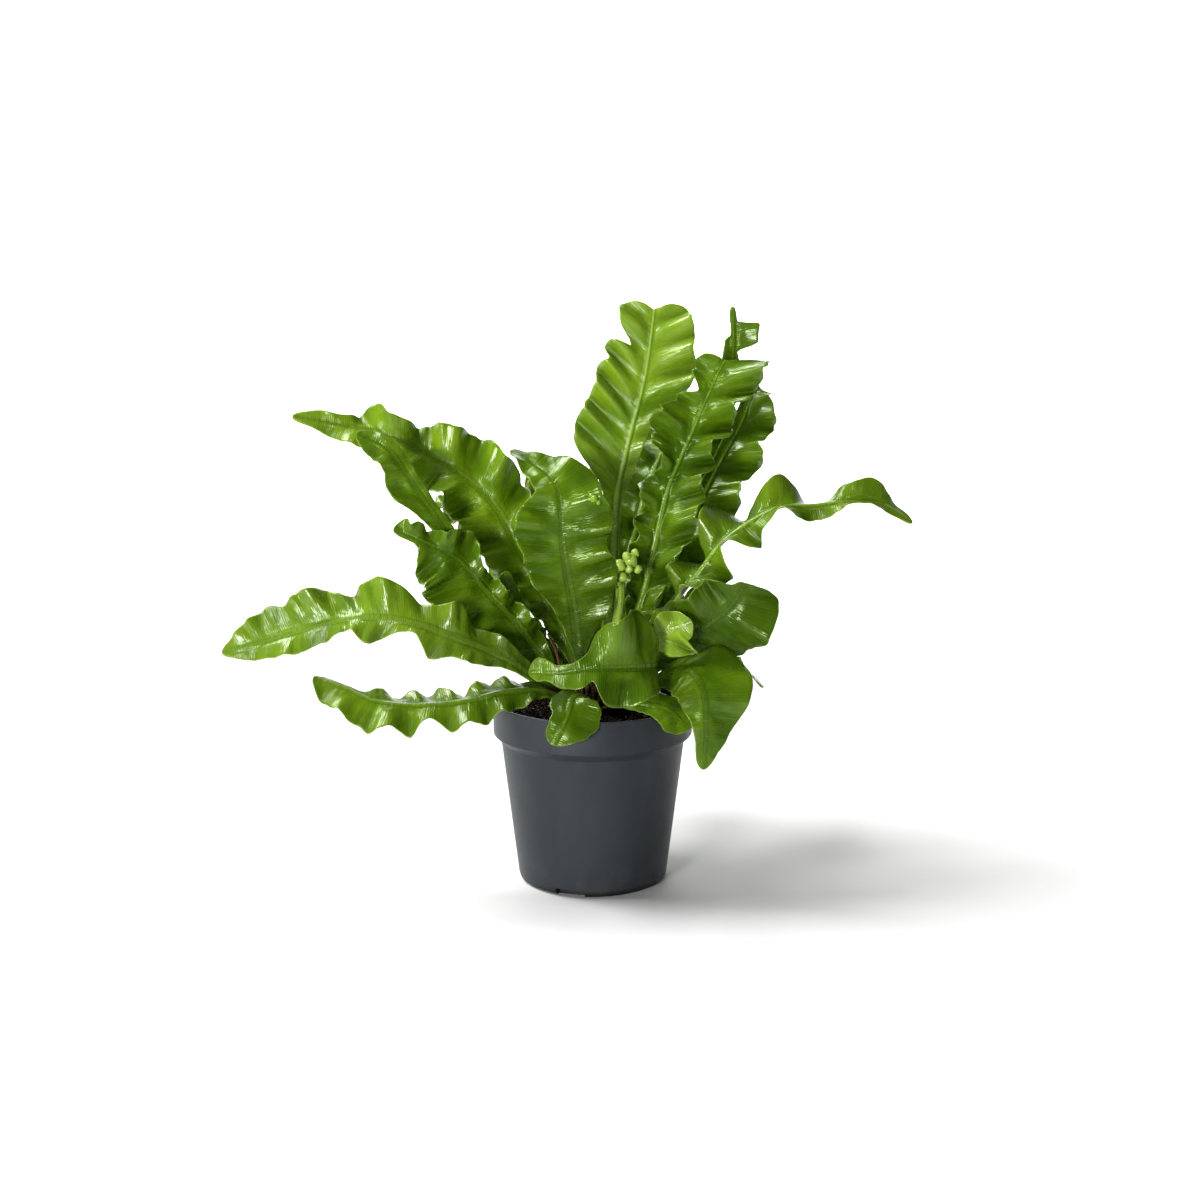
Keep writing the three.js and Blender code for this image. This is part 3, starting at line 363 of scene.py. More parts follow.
class Graph:
    """The nodes of one material."""

    def __init__(self, name: str) -> None:
        """Starts an empty material of that name."""
        self.material = bpy.data.materials.new(name)
        self.material.use_nodes = True
        self.tree = self.material.node_tree
        self.tree.nodes.clear()

    def node(self, kind: str, settings: dict[str, Any], inputs: dict[Any, Any]) -> bpy.types.Node:
        """Adds one node.

        Args:
            kind: the node's type.
            settings: properties of the node, set first.
            inputs: values or links by the socket's name or number.

        Returns:
            The node.
        """
        node = self.tree.nodes.new(kind)
        for key, value in settings.items():
            setattr(node, key, value)
        for key, value in inputs.items():
            socket = node.inputs[key]
            if isinstance(value, Wire):
                self.tree.links.new(value.socket, socket)
            elif isinstance(value, bpy.types.NodeSocket):
                self.tree.links.new(value, socket)
            else:
                socket.default_value = value
        return node

    def place(self) -> bpy.types.NodeSocket:
        """The place on the object, in metres."""
        return self.node("ShaderNodeTexCoord", {}, {}).outputs["Object"]

    def scaled(self, sizes: Triple) -> bpy.types.NodeSocket:
        """The place on the object with each coordinate multiplied."""
        node = self.node("ShaderNodeVectorMath", {"operation": "MULTIPLY"}, {0: self.place(), 1: sizes})
        return node.outputs[0]

    def value(self, name: str) -> Wire:
        """A named value of the mesh."""
        node = self.node("ShaderNodeAttribute", {"attribute_name": name}, {})
        return Wire(self, node.outputs["Fac"])

    def noise(
        self, size: float, detail: float = 3, rough: float = 0.5, stretch: Triple = (1, 1, 1)
    ) -> Wire:
        """Cloudy noise from 0 to 1.

        Args:
            size: how wide its clouds are, in millimetres.
            detail: how many finer layers it has.
            rough: how strong the finer layers are.
            stretch: less than 1 where the clouds are drawn out along a coordinate.

        Returns:
            The noise.
        """
        node = self.node("ShaderNodeTexNoise", {}, {
            "Vector": self.scaled(stretch), "Scale": 1 / (size * MM), "Detail": detail, "Roughness": rough,
        })
        return Wire(self, node.outputs[0])

    def streaks(self, along: Wire, across: Wire, shift: Wire, sizes: tuple[float, float]) -> Wire:
        """Noise from 0 to 1 drawn out across a blade.

        Args:
            along: millimetres along the rib.
            across: millimetres away from it.
            shift: which streaks of their kind.
            sizes: how wide and how long the streaks are, in millimetres.

        Returns:
            The noise.
        """
        flat = self.node("ShaderNodeCombineXYZ", {}, {0: along / sizes[0], 1: across / sizes[1], 2: shift})
        node = self.node("ShaderNodeTexNoise", {}, {"Vector": flat.outputs[0], "Scale": 1, "Detail": 3})
        return Wire(self, node.outputs[0])

    def blend(self, factor: Any, low: Any, high: Any) -> bpy.types.NodeSocket:
        """The colour low where the factor is 0 and high where it is 1."""
        low, high = ((*paint, 1) if isinstance(paint, tuple) else paint for paint in (low, high))
        node = self.node("ShaderNodeMix", {"data_type": "RGBA"}, {0: factor, 6: low, 7: high})
        return node.outputs[2]

    def layered(self, ground: Triple, *layers: tuple[Wire, Triple]) -> bpy.types.NodeSocket:
        """The ground colour with others laid over it in turn, each through a mask of its own."""
        colour = ground
        for mask, paint in layers:
            colour = self.blend(mask, colour, paint)
        return colour

    def bump(self, height: Wire, depth: float, strength: float = 1) -> bpy.types.NodeSocket:
        """Normals as if the surface rose by the height times depth millimetres."""
        inputs = {"Height": height, "Distance": depth * MM, "Strength": strength}
        return self.node("ShaderNodeBump", {}, inputs).outputs[0]

    def principled(self, inputs: dict[str, Any]) -> bpy.types.Node:
        """Adds the surface shader."""
        return self.node("ShaderNodeBsdfPrincipled", {}, inputs)

    def finish(self, shader: bpy.types.NodeSocket) -> bpy.types.Material:
        """Links the shader to the material's output and returns the material."""
        self.node("ShaderNodeOutputMaterial", {}, {"Surface": shader})
        return self.material


# Finishes


class Tone(Enum):
    """The record's slots that a frond may take its finish from."""

    MID = "leaf_mid"
    DARK = "leaf_dark"
    BRIGHT = "leaf_bright"


@dataclass(frozen=True)
class LeafFinish:
    """A glossy leaf with a pale rib, fine veins, a thin pale margin and a duller underside, with painted
    highlight and shade over its waves and hollows.

    It reads the blade's values: reach and run are millimetres across and along from the rib's foot,
    margin is how far in from the edge, under is 1 on the underside, share runs from 0 to 1 along
    the rib, crest from -1 in a wave's trough to 1 on its crest, spine and shade are the frond's own.
    """

    name: str
    deep: Triple
    light: Triple
    rib: Triple
    edge: Triple
    glow: Triple
    gloss: float
    sheen: float
    tint: Triple

    RIB_FOOT, RIB_TIP = 2.5, 0.8  # half the rib's width at its two ends
    VEIN_STEP = 1.3
    STREAK = (2.6, 16)  # how wide and long the fine streaks are that run out from the rib
    FOLD = (7, 22)  # and the broad ones
    STALK = (0.06, 0.045, 0.012)  # the brown of a stalk's foot
    DIM = 0.45  # what is left of the deep colour where little light comes
    FADED = 0.4  # how far the pale colour lies from the light one to the edge's
    RELIEF, SOFTENED = 0.42, 0.55  # the bump's depth and strength
    COAT_ROUGH = 0.17

    def material(self) -> bpy.types.Material:
        """Lays colours over each other, from patches all over the blade to its rib and margin."""
        g = Graph(self.name)
        reach, run, margin, under = map(g.value, ("reach", "run", "margin", "under"))
        share, spine, crest, shade = map(g.value, ("share", "spine", "crest", "shade"))
        clouds, mottle = g.noise(26).rise(0.32, 0.68), g.noise(3.5, 4)
        beside = abs(reach) / share.rise(0, 1, self.RIB_FOOT, self.RIB_TIP)
        rib = beside.rise(0.5, 1, 1, 0)
        crease = beside.rise(0.85, 1.15) * beside.rise(1.3, 1.9, 1, 0)
        vein = (run * (TURN / self.VEIN_STEP) + g.noise(3, 2) * 3).sine()
        streak = g.streaks(run, reach, spine * 9, self.STREAK)
        fold = g.streaks(run, reach, spine * 5 + 3, self.FOLD)
        dark = tuple(c * self.DIM for c in self.deep)
        pale = tuple(a + self.FADED * (b - a) for a, b in zip(self.light, self.edge))
        colour = g.layered(
            self.deep,
            (clouds * 0.75 + mottle * 0.25, self.light),  # cloudy patches
            (vein.rise(0.3, 1) * 0.12 + streak.rise(0.5, 0.8) * 0.3, pale),  # veins and streaks
            (fold.rise(0.5, 0.25) * 0.35, self.deep),  # painted shade in the hollows between the folds
            (crest.rise(0, 1) * 0.3, pale),  # painted highlight on the waves' crests
            (crest.rise(0, -1) * 0.5, dark),  # and painted shade in their troughs
            (share.rise(0.05, 0.55, 0.8, 0) * spine.rise(-0.1, 0.6, 1, 0.1), dark),  # darker near the crown: older bases, and painted shade deep in the rosette
            (share.rise(0.72, 1) * 0.3, pale),  # the young end
            (shade, dark),  # fronds that others shade
            (under * 0.55, pale),  # the underside
            (crease * 0.5, dark),  # painted shade in the creases beside the rib
            (rib * spine.rise(-0.8, 0, 0.6, 0), dark),  # painted shade in a sunk rib
            (rib * spine.rise(0, 1, 0.08, 0.85), self.rib),  # a raised rib
            (margin.rise(0.1, 0.6, 0.35, 0), self.edge),  # the thin pale margin
            (run.rise(2, 26, 0.85, 0), self.STALK),  # the stalk's foot
        )
        height = vein * 0.18 + mottle * 0.7 + streak * 2.6 + fold * 3.6 + g.noise(9, 2) * 1.8
        surface = g.principled({
            "Base Color": colour,
            "Roughness": mottle * 0.1 + under * 0.16 - crest * 0.06 + self.gloss,
            "Normal": g.bump(height, self.RELIEF, self.SOFTENED),
            "Specular IOR Level": self.sheen,
            "Specular Tint": (*self.tint, 1),
            "Coat Weight": crest.rise(-0.3, 0.8) * streak.rise(0.38, 0.62) * 0.54 + 0.04,
            "Coat Roughness": self.COAT_ROUGH,
        })
        through = g.node("ShaderNodeBsdfTranslucent", {}, {"Color": (*self.glow, 1)})
        parts = {0: rib.rise(0, 1, 0.24, 0.06), 1: surface.outputs[0], 2: through.outputs[0]}
        return g.finish(g.node("ShaderNodeMixShader", {}, parts).outputs[0])


LEAVES = {
    Tone.MID: LeafFinish(
        "leaf_mid", deep=(0.065, 0.145, 0.002), light=(0.18, 0.31, 0.007), rib=(0.25, 0.4, 0.04),
        edge=(0.27, 0.38, 0.04), glow=(0.34, 0.5, 0.008), gloss=0.25, sheen=0.45, tint=(0.85, 1, 0.5),
    ),
    Tone.DARK: LeafFinish(
        "leaf_dark", deep=(0.03, 0.078, 0.001), light=(0.108, 0.2, 0.003), rib=(0.17, 0.31, 0.02),
        edge=(0.18, 0.29, 0.03), glow=(0.24, 0.42, 0.006), gloss=0.2, sheen=0.4, tint=(0.75, 1, 0.4),
    ),
    Tone.BRIGHT: LeafFinish(
        "leaf_bright", deep=(0.085, 0.18, 0.004), light=(0.215, 0.36, 0.012), rib=(0.28, 0.43, 0.07),
        edge=(0.32, 0.43, 0.05), glow=(0.42, 0.58, 0.015), gloss=0.25, sheen=0.55, tint=(0.9, 1, 0.7),
    ),
}


@dataclass(frozen=True)
class PotFinish:
    """Satin moulded plastic with fine grain and flow streaks, dusty low down, scuffed at the rim, and
    darkened along its foot as painted shade.
    """

    name: str = "pot_plastic"
    base: Triple = (0.011, 0.0145, 0.0185)
    light: Triple = (0.019, 0.023, 0.028)
    dust: Triple = (0.09, 0.087, 0.08)
    # painted shade along the foot and in the notches
    foot_shade: Triple = (0.002, 0.002, 0.002)
    dusty: float = 30  # the height up to which the wall is dusty
    rim: float = 107  # the height above which it is scuffed

    def material(self) -> bpy.types.Material:
        """Lays the streaks, the dust and the painted shade of the foot over the plastic."""
        g = Graph(self.name)
        height = g.node("ShaderNodeSeparateXYZ", {}, {0: g.place()}).outputs[2]
        z = Wire(g, height) * (1 / MM)
        flow = g.noise(16, 4, stretch=(1, 1, 0.25)).rise(0.3, 0.7)
        grain = g.noise(0.5, 2)
        smear = g.noise(22, 5, 0.65)
        low = z.rise(0, self.dusty, 1, 0) * smear.rise(0.42, 0.7)
        scuff = z.rise(self.rim, self.rim + 4) * g.noise(5, 4, 0.7).rise(0.5, 0.72)
        colour = g.layered(
            self.base,
            (flow * 0.55 + grain * 0.2, self.light),
            (low * 0.22 + scuff * 0.28, self.dust),
            # painted shade, darkest where the foot meets the floor
            (z.rise(1.5, 5, 0.9, 0), self.foot_shade),
        )
        surface = g.principled({
            "Base Color": colour,
            "Roughness": smear * 0.16 + grain * 0.06 + 0.36,
            "Normal": g.bump(grain + smear * 3, 0.09, 0.6),
            "Specular IOR Level": 0.3,
        })
        return g.finish(surface.outputs[0])


@dataclass(frozen=True)
class SpeckFinish:
    """A rough natural finish, mottled between two colours, that may differ from bit to bit."""

    name: str
    dark: Triple
    light: Triple
    rough: float = 0.85
    size: float = 2.0
    depth: float = 0.5
    picked: bool = False

    def material(self) -> bpy.types.Material:
        """Makes the material; with picked, each bit has its own shade by its value "pick"."""
        g = Graph(self.name)
        cloud = g.noise(self.size * 4, 4, 0.6).rise(0.3, 0.7)
        fine = g.noise(self.size, 5, 0.7)
        shade = cloud * 0.4 + fine * 0.6
        if self.picked:
            shade = shade * 0.5 + g.value("pick") * 0.6
        surface = g.principled({
            "Base Color": g.blend(shade, self.dark, self.light),
            "Roughness": fine * 0.2 + self.rough - 0.1,
            "Normal": g.bump(fine * 2 + cloud, self.depth),
            "Specular IOR Level": 0.08,
        })
        return g.finish(surface.outputs[0])


# near-black peat: its own dark brown, made darker still as painted shade from the rim and the fronds
PEAT = (0.001, 0.0008, 0.0006)
SOIL = SpeckFinish("soil_peat", PEAT, (0.007, 0.0045, 0.003), rough=0.9, size=1.4)
CRUMB = SpeckFinish("soil_crumbs", PEAT, (0.022, 0.013, 0.008), 0.9, 1, depth=0.3, picked=True)
GRIT = SpeckFinish("soil_grit", (0.3, 0.2, 0.11), (0.75, 0.66, 0.52), 0.75, 0.8, 0.15, True)
FIBRE = SpeckFinish("soil_fibres", (0.05, 0.026, 0.012), (0.19, 0.11, 0.05), 0.8, 1, 0.1, True)
# the crown's core and scales: dark brown, made darker still as painted shade deep in the rosette
CROWN = SpeckFinish("crown_core", (0.006, 0.0035, 0.002), (0.035, 0.018, 0.008), size=1.2)
SCALE = SpeckFinish("crown_scales", (0.018, 0.009, 0.004), (0.085, 0.042, 0.019), 0.6, 1, 0.1, True)
STALK = SpeckFinish("dead_stalk", (0.03, 0.012, 0.006), (0.13, 0.06, 0.03), 0.6, 0.8, 0.2)


# The plant


@dataclass(frozen=True)
class Frond:
    """One blade, carried along its midrib.

    Its fields say, in millimetres, degrees and shares of the length: rib, points that the midrib
    runs through; facing, where the upper face looks, at even shares; left and right, half widths at
    shares, right only where it isn't as left; waves along the rib, shortened towards the crown by
    tighten; lift and phase of each half's waves; cup, each half's steady tilt; sweep, how far the
    waves lean towards the tip; tip, the rounded share of the end; crimp, finer pleats between the
    waves; spine, from -1, a sunk rib in painted shade, to 1, a raised pale one; ease, the share over
    which the outline's corners are eased; shade, how far painted shade darkens its colour.
    """

    name: str
    tone: Tone
    rib: Pairs
    facing: Pairs
    left: Pairs
    waves: float
    lift: tuple[float, float]
    sweep: tuple[float, float]
    tip: float
    right: Pairs = ()
    tighten: float = 0
    phase: tuple[float, float] = (0.25, 0.75)
    cup: tuple[float, float] = (0, 0)
    crimp: float = 0.15
    spine: float = 0
    ease: float = 0.02
    shade: float = 0

    LOOK = 0.015  # the share to either side over which the way ahead is taken
    STATION = 1.4  # the step between rings, which are closer round the tip
    TIP_STATIONS = 14
    COLUMNS = 18  # columns in each half, closer near the rib by the power SPREAD
    SPREAD = 1.5
    LEAST = 0.4  # the least half width
    UNEVEN = 0.025  # the share by which a half's width varies at random
    OPEN = (2.5, 9)  # the half widths between which a bare stalk turns into a waved blade
    SWEPT = 12  # the half width at which the sweep is full
    VARY, VARY_BEAT = 0.25, 2.3  # how far the waves' lift varies, and how often along the rib
    PLEATS = 2.7  # pleats for each wave
    PUCKER = ((5.5, 0.3, 0.2), (15, 0.75, 0.35))  # lumps' size, height and pull along the rib
    BLADE, STALK = 0.6, 1.7  # thickness at the margin
    RIB_FOOT, RIB_TIP = 3, 1  # thickness at the rib
    ABOVE, BELOW = 0.4, 0.9  # shares of the rib above, and of the rest of it below
    BELL = 1.5  # how far out the rib's thickness fades
    CREASE, CREASE_AT, CREASE_WIDE = 0.22, 2.3, 0.7  # the crease's depth, place and width

    def rib_points(self, count: int = 400) -> Array:
        """A centripetal Catmull-Rom curve through the rib's points.

        Between two points it is the cubic whose ends have the slopes that the neighbours give,
        with each gap weighed by the square root of its length.
        """
        p = np.asarray(self.rib, float)
        p = np.vstack([2 * p[0] - p[1], p, 2 * p[-1] - p[-2]])
        gap = np.sqrt(np.linalg.norm(np.diff(p, axis=0), axis=1))
        u = np.linspace(0, len(self.rib) - 1, count + 1)
        i = np.minimum(u.astype(int), len(self.rib) - 2)
        w = (u - i)[:, None]
        g0, g1, g2 = gap[i][:, None], gap[i + 1][:, None], gap[i + 2][:, None]
        a, b, c, d = p[i], p[i + 1], p[i + 2], p[i + 3]
        m1 = ((b - a) / g0 - (c - a) / (g0 + g1) + (c - b) / g1) * g1
        m2 = ((c - b) / g1 - (d - b) / (g1 + g2) + (d - c) / g2) * g1
        return b + m1 * w + (3 * c - 3 * b - 2 * m1 - m2) * w**2 + (2 * b - 2 * c + m1 + m2) * w**3

    def frame(self, s: Array) -> tuple[Array, Array, Array, Array, float]:
        """Places and directions along the rib.

        Args:
            s: shares of the rib's length.

        Returns:
            Points, the ways ahead, up from the upper face and to the left, and the length.
        """
        path = self.rib_points()
        run = np.concatenate([[0], np.cumsum(np.linalg.norm(np.diff(path, axis=0), axis=1))])

        def at(share: Array) -> Array:
            """Points at shares of the length."""
            return np.stack([np.interp(share * run[-1], run, path[:, k]) for k in range(3)], -1)

        ahead = unit(at(np.clip(s + self.LOOK, 0, 1)) - at(np.clip(s - self.LOOK, 0, 1)))
        looks = np.asarray(self.facing, float)
        turns = np.linspace(0, 1, len(looks)) if len(looks) > 1 else np.zeros(1)
        up = np.stack([np.interp(s, turns, looks[:, k]) for k in range(3)], -1)
        up = unit(up - (up * ahead).sum(-1, keepdims=True) * ahead)
        return at(s), ahead, up, np.cross(up, ahead), run[-1]

    def eased(self, pairs: Pairs, s: Array) -> Array:
        """Values in straight runs between (share, value) pairs, with eased corners."""
        x, y = np.asarray(pairs, float).T
        before, after = np.interp(s - self.ease, x, y), np.interp(s + self.ease, x, y)
        return (before + 2 * np.interp(s, x, y) + after) / 4

    def stations(self, length: float) -> Array:
        """Shares along the rib: even ones, then closer ones round the tip."""
        body = np.linspace(0, 1 - self.tip, max(int(length * (1 - self.tip) / self.STATION), 12))
        end = 1 - self.tip + self.tip * np.sin(np.linspace(0, math.pi / 2, self.TIP_STATIONS))
        return np.concatenate([body[:-1], end])

    def widths(self, s: Array) -> tuple[Array, Array]:
        """Each half's open width, and the same closed by the rounded tip.

        The tip closes as sqrt(1 - u^2), where u goes from 0 to 1 over the last share, tip.
        """
        wide = np.stack([self.eased(self.left, s), self.eased(self.right or self.left, s)])
        seed = sum(map(ord, self.name))
        uneven = np.stack([ripple(np.stack([s * 20, s * 0 + k], -1), 1.6, seed + k, 8) for k in (0, 1)])
        closing = np.sqrt(1 - np.clip((s - (1 - self.tip)) / self.tip, 0, 1) ** 2)
        return wide, np.maximum(wide * (1 + self.UNEVEN * uneven) * closing, self.LEAST)

    def middle(self, s: Array, v: Array) -> tuple[Array, dict[str, Array]]:
        """The blade's middle surface, without thickness.

        A half's point lies reach = width * |v| from the rib. Its tilt is cup + swing, where swing is
        lift * opening * (ramp * sin(turn) + pleat), varied by 1 + 0.25 sin(2.3 turns of s). Turn is
        the waves passed plus the phase, and ramp goes from 0 on the rib to 1 at 0.3 of the width.
        The point is rib + left * cos(tilt) * reach + up * sin(tilt) * reach, moved ahead by sweep *
        reach and up by the puckers.

        Args:
            s: shares along the rib.
            v: -1 at the right margin, 0 on the rib, 1 at the left margin.

        Returns:
            Points as a grid, and the values that the finishes read.
        """
        point, ahead, up, left, length = self.frame(s)
        wide, closed = self.widths(s)
        half = (v <= 0).astype(int)
        wide, closed = wide[half].T, closed[half].T
        halves = (self.phase, self.lift, self.cup, self.sweep)
        phase, lift, cup, sweep = (np.array(pair)[half] for pair in halves)
        share, out, opening = s[:, None], np.abs(v), smoothstep(*self.OPEN, wide)
        turn = TURN * (self.waves * (share + self.tighten * share * (1 - share)) + phase)
        vary = 1 + self.VARY * np.sin(TURN * self.VARY_BEAT * share + 9 * phase + self.waves)
        pleat = np.sin(self.PLEATS * turn + 4 * phase + 3 * share * self.waves)
        pleat = self.crimp * smoothstep(0.15, 0.8, out) * pleat
        swing = lift * opening * vary * (smoothstep(0, 0.3, out) * np.sin(turn) + pleat)
        tilt = np.radians(cup + swing)
        reach = closed * out
        across = np.cos(tilt) * reach * np.sign(v)
        high = np.sin(tilt) * reach
        seed = sum(map(ord, self.name)) + 5
        flat = np.stack([share * length + 0 * reach, reach * np.sign(v)], -1)
        for k, (size, rise, drawn) in enumerate(self.PUCKER):
            high = high + rise * smoothstep(1.5, 8, reach) * ripple(flat * (1, drawn), size, seed + k, 12)
        onward = sweep * reach * np.minimum(1, wide / self.SWEPT)
        moves = ((across, left), (high, up), (onward, ahead))
        points = point[:, None] + sum(far[..., None] * way[:, None] for far, way in moves)
        ones = np.ones_like(reach)
        return points, {
            "reach": reach * np.sign(v),
            "run": share * length * ones,
            "margin": np.minimum(closed * (1 - out), length * (1 - share)),
            "share": share * ones,
            "spine": self.spine * ones,
            "shade": self.shade * ones,
            "crest": np.sin(turn) * smoothstep(0.1, 0.6, out) * opening * np.minimum(lift / 10, 1),
        }

    def thickness(self, s: Array, reach: Array) -> tuple[Array, Array]:
        """How far the upper and the lower face stand from the middle surface.

        The blade is even, and thicker near the rib by the bell exp(-(reach / 1.5)^2), most of it
        below. On the upper face a shallow crease runs on each side of the rib, shallower by a sunk
        one.
        """
        opening = smoothstep(*self.OPEN, self.widths(s)[0].max(0))[:, None]
        sunk = min(self.spine, 0)
        edge = self.STALK + (self.BLADE - self.STALK) * opening
        rib = self.RIB_FOOT + (self.RIB_TIP - self.RIB_FOOT) * s[:, None]
        bell = np.exp(-((reach / self.BELL) ** 2)) * np.maximum(rib - edge, 0)
        crease = np.exp(-(((np.abs(reach) - self.CREASE_AT) / self.CREASE_WIDE) ** 2))
        crease = self.CREASE * (1 + sunk) * opening * crease
        above = self.ABOVE + opening * (0.05 + 0.8 * sunk)
        return edge / 2 + above * bell - crease, edge / 2 + (1 - above) * bell * self.BELOW

    def shape(self) -> Shape:
        """The closed blade: upper face, lower face and a rounded margin, as rings along the rib."""
        length = self.frame(np.zeros(1))[4]
        s = self.stations(length)
        half = np.linspace(0, 1, self.COLUMNS + 1) ** self.SPREAD
        v = np.concatenate([-half[:0:-1], half])
        points, values = self.middle(s, v)
        normal = unit(np.cross(np.gradient(points, axis=0), np.gradient(points, axis=1)))
        high, low = self.thickness(s, values["reach"])
        upper = points + normal * high[..., None]
        lower = points - normal * low[..., None]
        out = unit(points[:, [0, -1]] - points[:, [1, -2]]) * (high + low)[:, [0, -1], None] / 2
        rims = points[:, [0, -1]] + out
        rings = np.concatenate([upper, rims[:, 1:], lower[:, ::-1], rims[:, :1]], 1)
        columns = len(v)
        faces = [grid_faces(len(s), 2 * columns + 2, True)]
        k = np.arange(columns - 1)
        strip = np.stack([k, k + 1, 2 * columns - 1 - k, 2 * columns - k], 1)
        corners = np.array([[columns - 1, columns, columns + 1], [2 * columns, 2 * columns + 1, 0]])
        last = (len(s) - 1) * (2 * columns + 2)
        faces += [strip, corners, (strip + last)[:, ::-1], (corners + last)[:, ::-1]]
        ringed = {}
        for key, value in values.items():
            ringed[key] = np.concatenate([value, value[:, -1:], value[:, ::-1], value[:, :1]], 1).ravel()
        under = np.concatenate([np.zeros(columns), [0.5], np.ones(columns), [0.5]])
        ringed["under"] = np.tile(under, len(s))
        return Shape(rings.reshape(-1, 3), faces, ringed)

    def dress(self, extra: Sequence[Shape], materials: dict[Tone, bpy.types.Material]) -> None:
        """Makes the frond's piece, in place of its solid.

        Args:
            extra: shapes that belong to the same frond.
            materials: the leaf finishes.
        """
        shape = Shape.joined([self.shape(), *extra]) if extra else self.shape()
        piece = shape.build(self.name.replace("frond", "leaf"), materials[self.tone])
        seated(piece, self.tone.value, self.name)


def seated(piece: bpy.types.Object, slot: str, *nodes: str) -> None:
    """Makes the piece ride with the part and hides the solids that it stands for.

    Args:
        piece: the finished piece.
        slot: the record's slot that it takes its finish from; not used.
        nodes: the solids that it replaces.
    """
    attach(piece, BODY)
    if nodes:
        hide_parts(*nodes)
    log.info("%s: %d faces", piece.name, len(piece.data.polygons))


